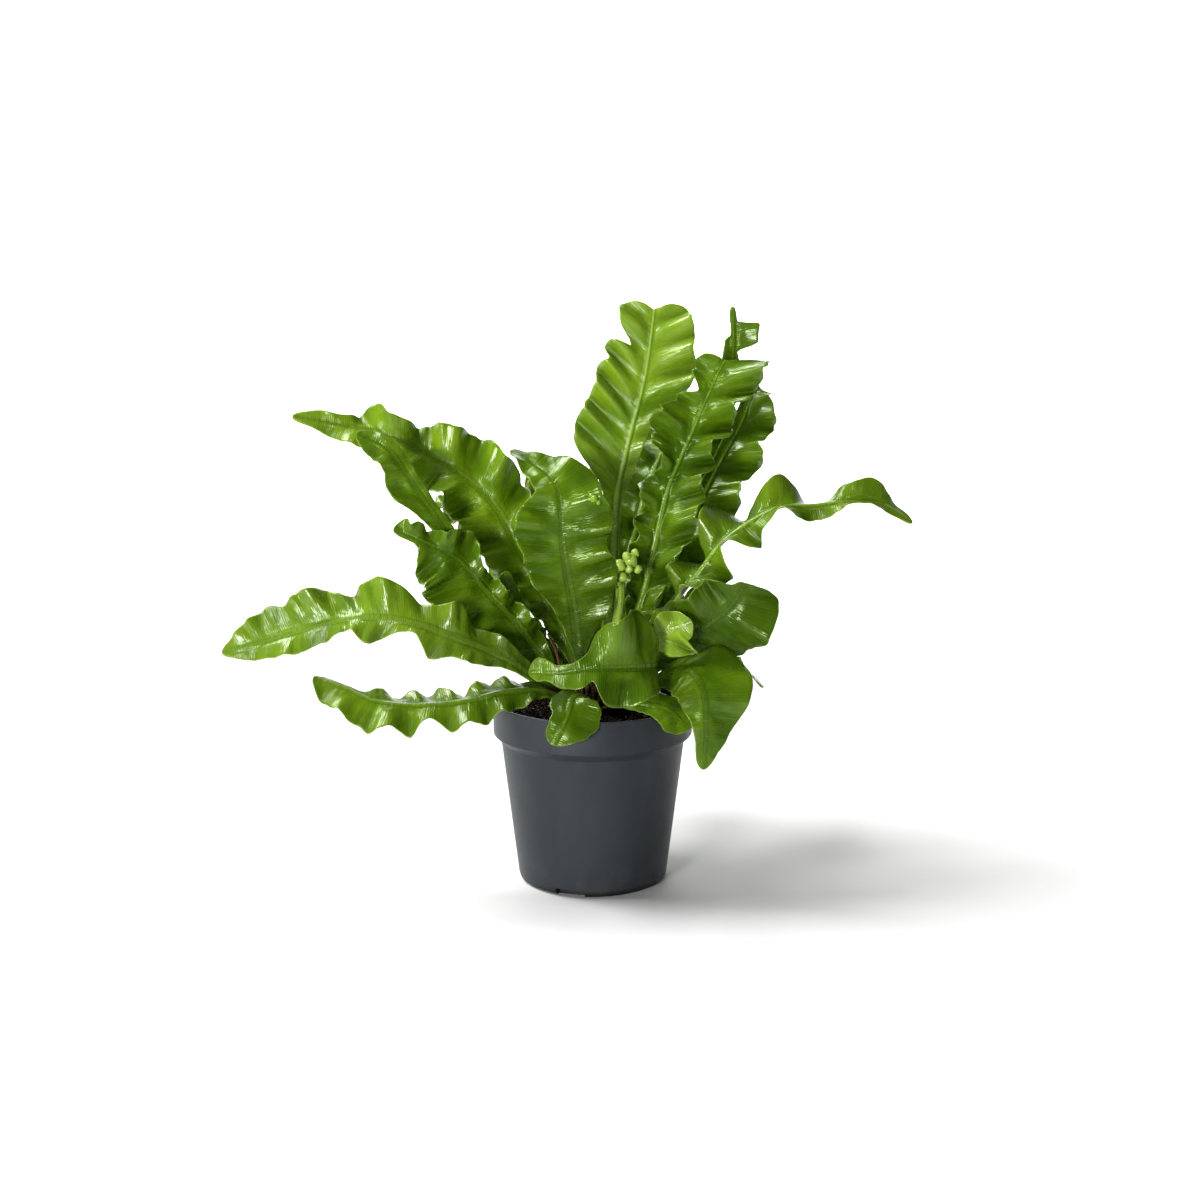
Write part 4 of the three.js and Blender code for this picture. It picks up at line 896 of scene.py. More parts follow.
FRONDS = (
    Frond(
        "frond_tall", Tone.BRIGHT,
        rib=((3, 4, 116), (8, 8, 145), (12, 14, 190), (14, 18, 228), (21, 26, 262), (31, 36, 300),
            (35, 43, 325), (37, 50, 341)),
        facing=((0.05, -1, 0.2),),
        left=((0, 2), (0.2, 2.5), (0.35, 4), (0.47, 6), (0.505, 11), (0.53, 31), (0.57, 35),
            (0.62, 32), (0.66, 30), (0.7, 28), (0.735, 30), (0.765, 27), (0.78, 23), (0.8, 28),
            (0.84, 25), (0.866, 8), (0.895, 19), (0.93, 23), (1, 19)),
        right=((0, 2), (0.2, 2.5), (0.4, 3), (0.5, 4), (0.55, 7), (0.6, 9), (0.68, 11), (0.71, 16),
            (0.735, 24), (0.755, 29), (0.8, 30), (0.83, 27), (0.9, 25), (1, 22)),
        waves=14, tighten=0.1, lift=(10, 10), phase=(0.25, 0.25), cup=(6, 6), sweep=(0.6, 0.6),
        tip=0.08, crimp=0.1, spine=1, ease=0.012,
    ),
    Frond(
        "frond_glossy", Tone.DARK,
        rib=((10.5, 1, 114), (19, 3, 143), (29, 3, 170), (36, 3, 200), (45, 6, 238), (57, 11, 266),
            (70, 16, 296), (78, 20, 312)),
        facing=((-0.2, -1, 0.1),),
        left=((0, 2), (0.15, 2), (0.25, 9), (0.36, 13), (0.43, 15), (0.455, 9), (0.49, 18), (0.525, 9),
            (0.56, 19), (0.6, 17), (0.65, 8), (0.69, 19), (0.74, 26), (0.79, 26), (0.815, 20),
            (0.84, 17), (0.865, 14), (0.885, 7), (0.905, 7), (0.92, 14), (0.96, 16), (1, 10)),
        right=((0, 2), (0.15, 2), (0.25, 9), (0.38, 18), (0.47, 23), (0.53, 24), (0.58, 20),
            (0.61, 19), (0.66, 22), (0.705, 16), (0.75, 23), (0.8, 19), (0.85, 25), (0.9, 25),
            (0.95, 28), (1, 25)),
        waves=9, lift=(30, 20), cup=(14, 8), sweep=(0.15, 0.6), tip=0.02, crimp=0.3, spine=0.45,
        ease=0.01,
    ),
    Frond(
        "frond_leaning", Tone.DARK,
        rib=((10, 7, 114), (22, 13, 140), (41, 23, 170), (58, 33, 208), (75, 41, 244), (90, 47, 271),
            (100, 54, 296)),
        facing=((-0.3, -1, 0.1),),
        left=((0, 2), (0.15, 2), (0.3, 7), (0.5, 10), (0.7, 4), (0.85, 6), (1, 4)),
        right=((0, 2), (0.15, 2), (0.3, 12), (0.45, 20), (0.55, 23), (0.64, 22.5), (0.68, 20),
            (0.73, 25), (0.79, 21), (0.83, 16), (0.85, 23), (0.875, 19), (0.905, 15), (0.94, 17),
            (0.97, 10), (1, 3)),
        waves=7, lift=(15, 24), cup=(10, 6), sweep=(0.2, 0.5), tip=0.08, crimp=0.3, spine=0.9,
        shade=0.12,
    ),
    Frond(
        "frond_torn", Tone.DARK,
        rib=((6, 10, 114), (24, 22, 145), (50, 40, 205), (71, 52, 265), (83, 58, 298), (86, 60, 314),
            (86, 66, 342)),
        facing=((0, -1, 0.1),),
        left=((0, 2), (0.2, 2), (0.4, 9), (0.8, 9), (0.87, 6), (0.92, 5), (0.93, 1.2), (1, 1.2)),
        right=((0, 2), (0.2, 2), (0.4, 9), (0.82, 9), (0.88, 3), (0.895, 2), (0.903, 15), (0.954, 17),
            (0.96, 2), (1, 1.2)),
        waves=7, lift=(12, 8), cup=(5, 5), sweep=(0.2, 0.1), tip=0.02, spine=0.3, shade=0.4, ease=0.004,
    ),
    Frond(
        "frond_reaching", Tone.MID,
        rib=((16.5, -1, 111), (28, -4, 140), (45, -12, 167), (62, -18, 191), (76, -18, 209),
            (92, -16, 221), (109, -14, 229), (128, -13, 230), (150, -12, 232), (170, -10, 230),
            (188, -8, 219)),
        facing=((-0.4, -0.5, 1), (-0.2, -0.6, 1)),
        left=((0, 2), (0.15, 2), (0.3, 14), (0.34, 17), (0.4, 16), (0.445, 10), (0.47, 18),
            (0.495, 26), (0.53, 25), (0.58, 12), (0.61, 14), (0.66, 20), (0.72, 15), (0.78, 9),
            (0.83, 12), (0.87, 15), (0.92, 11), (1, 1.5)),
        right=((0, 2), (0.15, 2), (0.3, 12), (0.38, 14), (0.42, 18), (0.455, 15), (0.48, 9),
            (0.505, 19), (0.54, 18), (0.565, 11), (0.6, 9), (0.655, 13), (0.75, 8), (0.9, 6.5),
            (1, 1.5)),
        waves=6.5, tighten=0.55, lift=(42, 42), phase=(0.25, 0.25), sweep=(0.2, 0.2), tip=0.02,
        crimp=0.1, spine=0.3, shade=0.38, ease=0.012,
    ),
    Frond(
        "frond_dark", Tone.DARK,
        rib=((15, -7, 111), (30, -14, 131), (50, -24, 149), (67, -31, 162), (80, -35, 174),
            (88, -36, 188)),
        facing=((0.2, -1, 0.2),),
        left=((0, 2), (0.15, 3), (0.35, 15), (0.44, 20), (0.52, 24), (0.6, 23), (0.67, 21), (0.75, 22),
            (0.85, 20), (0.92, 16), (0.94, 9), (0.96, 5), (1, 8)),
        right=((0, 2), (0.15, 3), (0.35, 9), (0.5, 18), (0.65, 27), (0.8, 29), (1, 20)),
        waves=3, lift=(12, 12), sweep=(0.2, 0.3), tip=0.08, crimp=0.05, spine=-0.5, shade=0.5,
    ),
    Frond(
        "frond_hanging", Tone.DARK,
        rib=((12, -12, 110), (28, -24, 124), (46, -38, 136), (57, -50, 139), (63, -58, 131),
            (65, -60, 116), (65, -60, 98), (64, -58, 83)),
        facing=((0.1, -0.4, 1), (0.1, -0.6, 1), (0.1, -1, 0.3), (0, -1, 0)),
        left=((0, 2), (0.15, 3), (0.3, 8), (0.4, 16), (0.48, 28), (0.55, 32), (0.64, 28), (0.77, 18),
            (0.87, 11), (0.95, 5), (1, 1.5)),
        right=((0, 2), (0.15, 3), (0.3, 8), (0.42, 16), (0.5, 20), (0.6, 16), (0.72, 12), (0.76, 9),
            (0.83, 6.5), (0.93, 5), (1, 2)),
        waves=3, lift=(8, 8), cup=(-10, -5), sweep=(0.2, 0.2), tip=0.03, crimp=0.05, spine=-0.8,
        shade=0.1,
    ),
    Frond(
        "frond_shell", Tone.DARK,
        rib=((5, -9, 114), (18, -23, 126), (32, -38, 136), (37, -52, 142), (26, -63, 144),
            (11, -69, 145), (-3, -71, 145), (-20, -68, 142), (-36, -62, 141)),
        facing=((0.3, 0.3, 1), (0.5, 0.3, 0.9), (0.9, 0.3, 0.4), (0.95, -0.4, 0.2), (0.3, -1, 0.25),
            (0, -1, 0.3), (-0.1, -1, 0.3), (-0.3, -1, 0.3)),
        left=((0, 2), (0.25, 3), (0.4, 7), (0.44, 13), (0.49, 17), (0.54, 20), (0.58, 22), (0.65, 22),
            (0.685, 19), (0.705, 14), (0.735, 6), (0.76, 10), (0.79, 11), (0.86, 9), (0.9, 5),
            (0.925, 4), (0.955, 5), (1, 3)),
        right=((0, 2), (0.25, 3), (0.4, 8), (0.44, 18), (0.47, 29), (0.5, 32), (0.57, 32), (0.6, 30),
            (0.65, 26), (0.7, 21), (0.715, 17), (0.74, 10), (0.77, 6), (0.81, 4), (0.88, 4), (0.91, 7),
            (0.945, 9), (1, 7)),
        waves=4, lift=(12, 12), cup=(8, 8), sweep=(0.1, 0.1), tip=0.05, crimp=0.05, spine=-0.9,
        ease=0.008,
    ),
    Frond(
        "frond_spoon", Tone.BRIGHT,
        rib=((9, -6, 115), (22, -18, 134), (31, -28, 148), (37, -36, 156), (44, -40, 161),
            (51, -42, 164), (57, -43, 167)),
        facing=((0, -1, 0.3),),
        left=((0, 1.6), (0.5, 2.5), (0.73, 5), (0.78, 10), (0.83, 11), (0.9, 9), (0.95, 8), (1, 6)),
        right=((0, 1.6), (0.45, 2.5), (0.52, 7), (0.6, 14), (0.7, 19), (0.75, 21), (0.84, 19),
            (0.88, 9), (0.93, 8), (1, 5)),
        waves=4, lift=(16, 14), cup=(8, 0), sweep=(0.1, 0.6), tip=0.1, spine=-0.5, ease=0.01,
    ),
    Frond(
        "frond_tongue", Tone.DARK,
        rib=((-2.5, -16.5, 110), (-4, -28, 118), (-11, -46, 123), (-15, -60, 113), (-22, -68, 100)),
        facing=((0, -0.6, 1),),
        left=((0, 2), (0.25, 3), (0.5, 14), (0.6, 18), (0.72, 19), (0.84, 15), (0.9, 12), (1, 9)),
        right=((0, 2), (0.25, 3), (0.5, 11), (0.6, 12), (0.7, 9), (0.85, 8), (0.93, 9), (1, 8)),
        waves=2, lift=(8, 8), sweep=(0.1, 0.1), tip=0.15, spine=-0.3, shade=0.5,
    ),
    Frond(
        "frond_lip", Tone.DARK,
        rib=((5.5, -16, 109), (15, -26, 114), (31, -39, 117), (45, -49, 115), (55, -57, 106)),
        facing=((0, -0.6, 1),),
        left=((0, 2), (0.25, 3), (0.5, 10), (0.75, 12), (1, 9)),
        right=((0, 2), (0.25, 3), (0.5, 7), (0.63, 8), (0.72, 12), (0.87, 13), (1, 9)),
        waves=2, lift=(8, 8), sweep=(0.1, 0.1), tip=0.15, spine=-0.4,
    ),
    Frond(
        "frond_low", Tone.MID,
        rib=((-12, -11.5, 110), (-30, -26, 122), (-50, -36, 124), (-72, -42, 120), (-94, -44, 118),
            (-112, -44, 118), (-130, -43, 121), (-146, -41, 128), (-162, -38, 133)),
        facing=((0, -0.5, 1),),
        left=((0, 2), (0.12, 3), (0.2, 8), (0.226, 12), (0.27, 10), (0.302, 17), (0.345, 12),
            (0.394, 19), (0.434, 13), (0.47, 21), (0.55, 10), (0.58, 11), (0.615, 21), (0.676, 15),
            (0.727, 21), (0.8, 16), (0.86, 16), (0.94, 13), (1, 9)),
        right=((0, 2), (0.12, 3), (0.23, 12), (0.29, 14), (0.334, 16), (0.375, 12), (0.395, 14),
            (0.465, 7), (0.52, 16), (0.596, 10), (0.637, 14), (0.68, 7), (0.71, 12), (0.76, 12),
            (0.82, 4), (0.9, 2.5), (0.98, 4), (1, 3)),
        waves=8, tighten=0.25, lift=(12, 12), cup=(-20, -8), sweep=(0.15, 0.15), tip=0.1, crimp=0.12,
        spine=-0.2, shade=0.3,
    ),
    Frond(
        "frond_long", Tone.BRIGHT,
        rib=((-15.5, -5.5, 111), (-36, -19, 130), (-51, -30, 143), (-73, -38, 154), (-88, -40, 160),
            (-102, -41, 165), (-117, -41, 168), (-136, -39, 168), (-154, -36, 164), (-192, -30, 152),
            (-217, -27, 145)),
        facing=((0, -0.85, 0.5),),
        left=((0, 2), (0.12, 3), (0.22, 6), (0.26, 9), (0.31, 13), (0.335, 12), (0.358, 9), (0.38, 17),
            (0.4, 17), (0.435, 12), (0.465, 6), (0.49, 5), (0.535, 9), (0.57, 17), (0.61, 12),
            (0.655, 5), (0.7, 10), (0.75, 10), (0.765, 13), (0.81, 13), (0.86, 12), (0.92, 9),
            (0.965, 5), (1, 1.5)),
        right=((0, 2), (0.12, 3), (0.25, 10), (0.31, 11), (0.36, 21), (0.42, 15), (0.47, 13),
            (0.5, 19), (0.555, 26), (0.6, 19), (0.645, 15), (0.66, 21), (0.7, 23), (0.74, 22),
            (0.77, 19), (0.84, 23), (0.87, 19), (0.92, 13), (0.97, 6), (1, 1.5)),
        waves=6, tighten=0.3, lift=(16, 16), phase=(0, 0.5), sweep=(0.3, 0.3), tip=0.02, crimp=0.3,
        spine=-0.5, shade=0.36,
    ),
    Frond(
        "frond_upper", Tone.MID,
        rib=((-8.5, 7.5, 114), (-14, 13, 140), (-27, 20, 166), (-45, 25, 199), (-61, 29, 226),
            (-84, 31, 246), (-99, 32, 254), (-120, 33, 265), (-153, 32, 273), (-181, 30, 278)),
        facing=((0, -1, 0.5),),
        left=((0, 2), (0.07, 3), (0.1, 6), (0.14, 9), (0.2, 12), (0.26, 16), (0.31, 20), (0.355, 25),
            (0.39, 28), (0.43, 28), (0.485, 27), (0.54, 23), (0.6, 21), (0.7, 17), (0.82, 13),
            (0.87, 11), (0.93, 6), (1, 1.5)),
        right=((0, 2), (0.12, 3), (0.3, 14), (0.5, 27), (0.57, 27), (0.62, 22), (0.65, 23), (0.72, 12),
            (0.75, 12), (0.78, 18), (0.81, 16), (0.845, 8), (0.89, 6), (0.93, 7), (1, 1.5)),
        waves=9, tighten=0.4, lift=(22, 28), cup=(5, 5), sweep=(0.3, 0.4), tip=0.02, crimp=0.2,
        spine=-0.7,
    ),
    Frond(
        "frond_curling", Tone.DARK,
        rib=((-11, 2, 114), (-25, 2, 136), (-45, 0, 156), (-60, -2, 171), (-76, -3, 192),
            (-88, -6, 214), (-97, -8, 229), (-107, -9, 244), (-119, -9, 262), (-137, -9, 272)),
        facing=((0.3, -1, 0.2),),
        left=((0, 2), (0.12, 3), (0.3, 7), (0.5, 6), (0.64, 5), (0.69, 8), (0.73, 14), (0.79, 14),
            (0.83, 11), (0.88, 11), (0.95, 9), (1, 7)),
        right=((0, 2), (0.12, 3), (0.3, 7), (0.5, 6), (0.7, 5), (0.85, 6), (0.95, 6), (1, 5)),
        waves=7, lift=(15, 15), cup=(5, 5), sweep=(0.3, 0.3), tip=0.08, spine=-0.6,
    ),
    Frond(
        "frond_elbow", Tone.DARK,
        rib=((-16.5, 1, 111), (-30, -5, 137), (-46, -9, 160), (-62, -12, 178), (-78, -15, 197),
            (-90, -17, 205), (-100, -18, 210), (-116, -18, 217)),
        facing=((0.3, -1, 0.2),),
        left=((0, 2), (0.12, 3), (0.3, 16), (0.5, 28), (0.62, 31), (0.71, 28), (0.82, 18), (0.865, 9),
            (0.885, 3), (1, 3)),
        right=((0, 2), (0.12, 3), (0.3, 10), (0.5, 11), (0.62, 8), (0.66, 10), (0.695, 21), (0.73, 18),
            (0.77, 14), (0.85, 8), (0.9, 10), (0.97, 8), (1, 5)),
        waves=7, lift=(14, 30), cup=(5, 5), sweep=(0.3, 0.3), tip=0.05, crimp=0.3, spine=-0.5,
        shade=0.05,
    ),
    Frond(
        "frond_shield", Tone.DARK,
        rib=((-4.5, -8, 115), (-8, -12, 140), (-11, -18, 168), (-15, -25, 193), (-17, -29, 208),
            (-18, -32, 228), (-20, -30, 242), (-26, -24, 250), (-35, -17, 255), (-47, -8, 262)),
        facing=((0, -1, 0.1), (0, -1, 0.1), (0, -1, 0.1), (0, -1, 0.1), (0, -1, 0.4), (0.2, -0.15, 1)),
        left=((0, 2), (0.15, 2.5), (0.3, 10), (0.36, 15), (0.42, 21), (0.5, 24), (0.54, 23),
            (0.57, 28), (0.64, 26), (0.69, 23), (0.73, 15), (0.78, 12), (0.83, 11), (0.9, 8), (1, 5)),
        right=((0, 2), (0.15, 3), (0.2, 8), (0.25, 16), (0.31, 23), (0.38, 28), (0.46, 29), (0.5, 28),
            (0.53, 23), (0.57, 28), (0.62, 31), (0.68, 26), (0.74, 24), (0.8, 16), (0.86, 12),
            (0.92, 8), (1, 6)),
        waves=9.5, lift=(8, 7), phase=(0.25, 0.6), cup=(4, 4), sweep=(0.2, 0.2), tip=0.05, crimp=0.1,
        spine=-0.8, shade=0.1,
    ),
    Frond(
        "frond_frilled", Tone.DARK,
        rib=((-14, 9, 111), (-24, 9, 129), (-36, 9, 147), (-47, 8, 166), (-53, 7, 187)),
        facing=((0.3, -1, 0.2),),
        left=((0, 1.8), (0.2, 3), (0.5, 9), (0.8, 9), (1, 3)),
        right=((0, 2), (0.12, 3.5), (0.2, 8), (0.5, 9), (0.62, 7), (0.8, 6), (1, 3)),
        waves=5, lift=(36, 36), sweep=(0.3, 0.3), tip=0.05,
    ),
    Frond(
        "frond_young", Tone.BRIGHT,
        rib=((3, -3.5, 117), (8, -8, 136), (13, -12, 154), (16, -14, 173), (17, -15, 189),
            (21, -16, 196)),
        facing=((0, -1, 0.2),),
        left=((0, 1.5), (0.3, 1.8), (0.9, 2), (1, 2)),
        waves=4, lift=(20, 20), sweep=(0.3, 0.3), tip=0.05, spine=0.5,
    ),
    Frond(
        "frond_back_low", Tone.MID,
        rib=((14.5, 8, 110), (35, 24, 126), (68, 60, 128), (95, 85, 112), (111, 95, 95)),
        facing=((0, -0.3, 1),),
        left=((0, 2), (0.2, 3), (0.5, 16), (0.8, 12), (1, 2)),
        waves=5, lift=(15, 15), sweep=(0.3, 0.3), tip=0.05, spine=0.2,
    ),
    Frond(
        "frond_back_tall", Tone.DARK,
        rib=((1, 11, 113), (9, 27, 148), (24, 52, 196), (36, 80, 232), (47, 112, 254), (53, 144, 258),
            (56, 168, 248)),
        facing=((0, -1, 0.4), (0, -1, 0.6), (0, -0.4, 1), (0, 0, 1)),
        left=((0, 2), (0.15, 2.5), (0.3, 14), (0.5, 24), (0.75, 26), (0.9, 18), (1, 3)),
        waves=9, lift=(18, 18), cup=(8, 8), sweep=(0.3, 0.3), tip=0.04, spine=0.8, shade=0.2,
    ),
    Frond(
        "frond_back_right", Tone.MID,
        rib=((9.5, 13.5, 110), (24, 26, 142), (40, 50, 180), (54, 78, 206), (64, 108, 214),
            (70, 136, 204)),
        facing=((-0.4, -1, 0.6), (-0.2, -0.6, 1), (0, 0, 1)),
        left=((0, 2), (0.15, 2.5), (0.3, 12), (0.5, 20), (0.75, 22), (0.9, 14), (1, 3)),
        waves=8, lift=(22, 22), phase=(0.25, 0.25), cup=(5, 5), sweep=(0.3, 0.3), tip=0.04, spine=0.5,
    ),
    Frond(
        "frond_back_left", Tone.MID,
        rib=((-3.5, 16, 111), (-7, 30, 148), (-13, 54, 190), (-18, 84, 218), (-22, 116, 228),
            (-26, 146, 218)),
        facing=((0, -1, 0.4), (0, -0.6, 1), (0, 0, 1)),
        left=((0, 2), (0.15, 2.5), (0.3, 12), (0.5, 22), (0.75, 24), (0.9, 14), (1, 3)),
        waves=8, lift=(20, 20), phase=(0.75, 0.25), cup=(5, 5), sweep=(0.3, 0.3), tip=0.04, spine=0.5,
        shade=0.3,
    ),
    Frond(
        "frond_back_wide", Tone.MID,
        rib=((-9.5, 14, 110), (-18, 28, 138), (-30, 54, 162), (-42, 84, 174), (-50, 112, 170),
            (-54, 136, 156)),
        facing=((0.3, -1, 0.7), (0.1, -0.4, 1), (0, 0, 1)),
        left=((0, 2), (0.07, 4), (0.12, 7), (0.3, 7), (0.5, 20), (0.75, 21), (0.9, 13), (1, 3)),
        right=((0, 2), (0.15, 2.5), (0.3, 12), (0.5, 20), (0.75, 21), (0.9, 13), (1, 3)),
        waves=7, lift=(22, 22), phase=(0.25, 0.25), cup=(3, 3), sweep=(0.3, 0.3), tip=0.04, spine=0.4,
        shade=0.4,
    ),
    Frond(
        "frond_back_drooping", Tone.MID,
        rib=((3.5, 16.5, 109), (5, 34, 134), (9, 64, 152), (12, 96, 152), (14, 126, 136),
            (14, 148, 110)),
        facing=((0, -1, 0.7), (0, -0.2, 1), (0, 0.4, 1)),
        left=((0, 2), (0.15, 2.5), (0.3, 12), (0.5, 19), (0.75, 20), (0.9, 13), (1, 3)),
        waves=7, lift=(20, 20), sweep=(0.3, 0.3), tip=0.04, spine=0.5,
    ),
    Frond(
        "frond_back_far", Tone.MID,
        rib=((-9, 11.5, 116), (-19, 20, 146), (-36, 33, 184), (-58, 50, 210), (-84, 64, 220),
            (-108, 76, 214)),
        facing=((0.5, -1, 0.6), (0.3, -0.7, 1), (0, -0.2, 1)),
        left=((0, 2), (0.25, 2.5), (0.4, 9), (0.55, 17), (0.75, 19), (0.9, 12), (1, 2)),
        waves=7, lift=(22, 22), cup=(3, 3), sweep=(0.3, 0.3), tip=0.04, spine=0.4, shade=0.5,
    ),
    Frond(
        "frond_back_side", Tone.MID,
        rib=((13.5, 3.5, 110), (34, 20, 138), (56, 38, 156), (78, 54, 158), (96, 66, 146)),
        facing=((-0.4, -0.8, 1), (0, -0.3, 1)),
        left=((0, 2), (0.2, 2.5), (0.4, 10), (0.6, 15), (0.8, 14), (1, 2)),
        waves=5, lift=(20, 20), phase=(0.75, 0.25), sweep=(0.3, 0.3), tip=0.05, spine=0.3, shade=0.3,
    ),
    Frond(
        "frond_inner", Tone.DARK,
        rib=((-4, 1, 116), (-5, 2, 146), (-7, 1, 178), (-11, -1, 206), (-16, -3, 228)),
        facing=((0.1, -1, 0.1),),
        left=((0, 1.8), (0.2, 2.5), (0.45, 12), (0.75, 15), (0.9, 11), (1, 3)),
        waves=6, lift=(18, 18), cup=(8, 8), sweep=(0.3, 0.3), tip=0.05, spine=0.2, shade=0.3,
    ),
)


@dataclass(frozen=True)
class RolledTip:
    """A frond's end, still rolled up: round lobes, each with a crease where it is folded.

    A lobe is its middle's place and its radius. The radius shrinks towards the crease, as
    1 - 0.16 exp(-(height / 0.22)^2), where height is measured from the crease.
    """

    lobes: Pairs

    DEEP, WIDE = 0.16, 0.22
    UNEVEN = (0.85, 1.1)
    FAR = 150.0  # millimetres from the foot, where a blade has its plain colour

    def shape(self) -> Shape:
        """The lobes as one shape, each turned and stretched a little at random."""
        rng = np.random.default_rng(SEED)
        pattern = ball(2)
        dent = 1 - self.DEEP * np.exp(-((pattern.points[:, 2:] / self.WIDE) ** 2))
        pattern = Shape(pattern.points * dent, pattern.faces)
        rows = np.asarray(self.lobes, float)
        sizes = rows[:, 3:] * rng.uniform(*self.UNEVEN, (len(rows), 3))
        shape = repeated(pattern, rows[:, :3], random_frames(rng, sizes))
        even = dict.fromkeys(("reach", "margin", "under", "shade"), 0.0)
        # crest 1 lays the waves' painted highlight on every lobe
        even |= dict.fromkeys(("share", "spine", "crest"), 1.0) | {"run": self.FAR}
        shape.values = {key: np.full(len(shape.points), value) for key, value in even.items()}
        return shape


YOUNG_TIP = RolledTip((
    (22, -17, 198, 4.4), (16, -20, 195.5, 3.7), (11.5, -20.5, 190.5, 3.2), (17.5, -21.5, 189, 3.2),
    (26.5, -18, 193, 2.8), (20, -20, 201, 2.6), (25, -15, 202, 2.6), (14, -22, 192.5, 2.2),
    (21.5, -21.5, 193.5, 2.6), (11, -20, 186.5, 2.3), (15, -19.5, 185.5, 2.4),
))
SHIELD_CURL = RolledTip(((1, -36.6, 237, 2.3), (3.5, -35.8, 235, 1.7), (-0.5, -36, 239, 1.5)))
ROLLED = {"frond_young": [YOUNG_TIP], "frond_shield": [SHIELD_CURL]}


@dataclass(frozen=True)
class Pot:
    """The nursery pot: a turned wall with a rim band, foot notches and drain holes."""

    height: float = 111
    rim: float = 60
    rim_wall: float = 1.6
    band_bottom: float = 91
    shoulder: tuple[float, float] = (55.3, 86.5)
    wall: float = 1.3
    base: float = 45.2
    corner: tuple[float, float] = (3, 4)
    foot: float = 38
    notch_start: float = 39.2
    underside: float = 3
    floor: float = 4.6
    pad: float = 9
    draft: float = 1
    notches: int = 4
    notch_width: float = 18
    notch_height: float = 4.5
    notch_angle: float = -107.8
    drains: int = 8
    drain_radius: float = 3.5
    drain_ring: float = 27
    drain_sides: int = 24
    around: int = 288

    SLIVER = 0.25  # degrees between the two edges of a notch's steep end
    OFFSET = 0.06  # degrees that keep the even angles off the notches' edges
    SHARP = 32

    def profile(self) -> Array:
        """(radius, height) from the middle of the underside, up the wall and down inside."""
        r1, z1 = self.shoulder
        cx, cz = self.corner
        inner = self.base - self.wall
        under = [(0.5, 0), (self.pad, 0), (self.pad + self.draft, self.underside),
                 (self.foot - self.draft, self.underside), (self.foot, 0), (self.notch_start, 0)]
        outer = [(self.notch_start + 0.1, 0), (self.base - cx, 0), (self.base - cx * 0.3, cz * 0.3),
                 (self.base, cz), (self.base + 0.1, cz + 1), (r1, z1), (self.rim, self.band_bottom),
                 (self.rim, self.height), (self.rim - self.rim_wall, self.height),
                 (self.rim - self.rim_wall, self.band_bottom + self.draft),
                 (r1 - self.wall, z1 + self.draft), (inner, self.floor + self.draft),
                 (inner - self.draft, self.floor), (0.5, self.floor)]
        return np.concatenate([rounded(under, 0.3, 3), rounded(outer, 0.6, 5)])

    def angles(self) -> Array:
        """Even angles, with close pairs where a notch begins and ends."""
        half = math.degrees(math.asin(self.notch_width / 2 / self.base))
        middles = self.notch_angle + np.arange(self.notches) * 360 / self.notches
        sides = np.array([-half - self.SLIVER, -half, half, half + self.SLIVER])
        edges = (middles[:, None] + sides).ravel() % 360
        even = np.arange(self.around) * 360 / self.around + self.OFFSET
        return np.radians(np.sort(np.concatenate([even, edges])))

    def notched(self, rings: Array, angles: Array) -> Array:
        """Lifts the wall's foot to the notches' height, within each notch's width.

        Args:
            rings: the turned profile.
            angles: where its columns stand.

        Returns:
            The rings, changed.
        """
        half = math.asin(self.notch_width / 2 / self.base)
        step = TURN / self.notches
        off = np.abs((angles - math.radians(self.notch_angle) + step / 2) % step - step / 2)
        gate = (off < half + 1e-4) & (np.hypot(rings[..., 0], rings[..., 1]) > self.notch_start + 0.05)
        rings[..., 2] = np.where(gate, np.maximum(rings[..., 2], self.notch_height), rings[..., 2])
        return rings

    def drained(self, piece: bpy.types.Object) -> None:
        """Cuts the drain holes out of the floor."""
        wall = np.array([(self.drain_radius, -self.floor), (self.drain_radius, 3 * self.floor)])
        hole = stacked(turned(wall, np.arange(self.drain_sides) * TURN / self.drain_sides), True)
        angle = (np.arange(self.drains) + 0.5) * TURN / self.drains
        centres = turned(np.array([(self.drain_ring, 0)]), angle)[0]
        frames = np.broadcast_to(np.eye(3), (self.drains, 3, 3))
        cutter = repeated(hole, centres, frames).build("drain_cutter")
        cut = piece.modifiers.new("drains", "BOOLEAN")
        cut.operation, cut.solver, cut.object = "DIFFERENCE", "EXACT", cutter
        whole = piece.evaluated_get(bpy.context.evaluated_depsgraph_get())
        piece.data = bpy.data.meshes.new_from_object(whole)
        piece.modifiers.clear()
        bpy.data.objects.remove(cutter)

    def dress(self) -> None:
        """Makes the pot's piece."""
        angles = self.angles()
        rings = self.notched(turned(self.profile(), angles), angles)
        piece = stacked(rings, True).build("nursery_pot", PotFinish().material())
        self.drained(piece)
        piece.data.shade_smooth()
        piece.data.set_sharp_from_angle(angle=math.radians(self.SHARP))
        seated(piece, "pot_plastic", "pot")


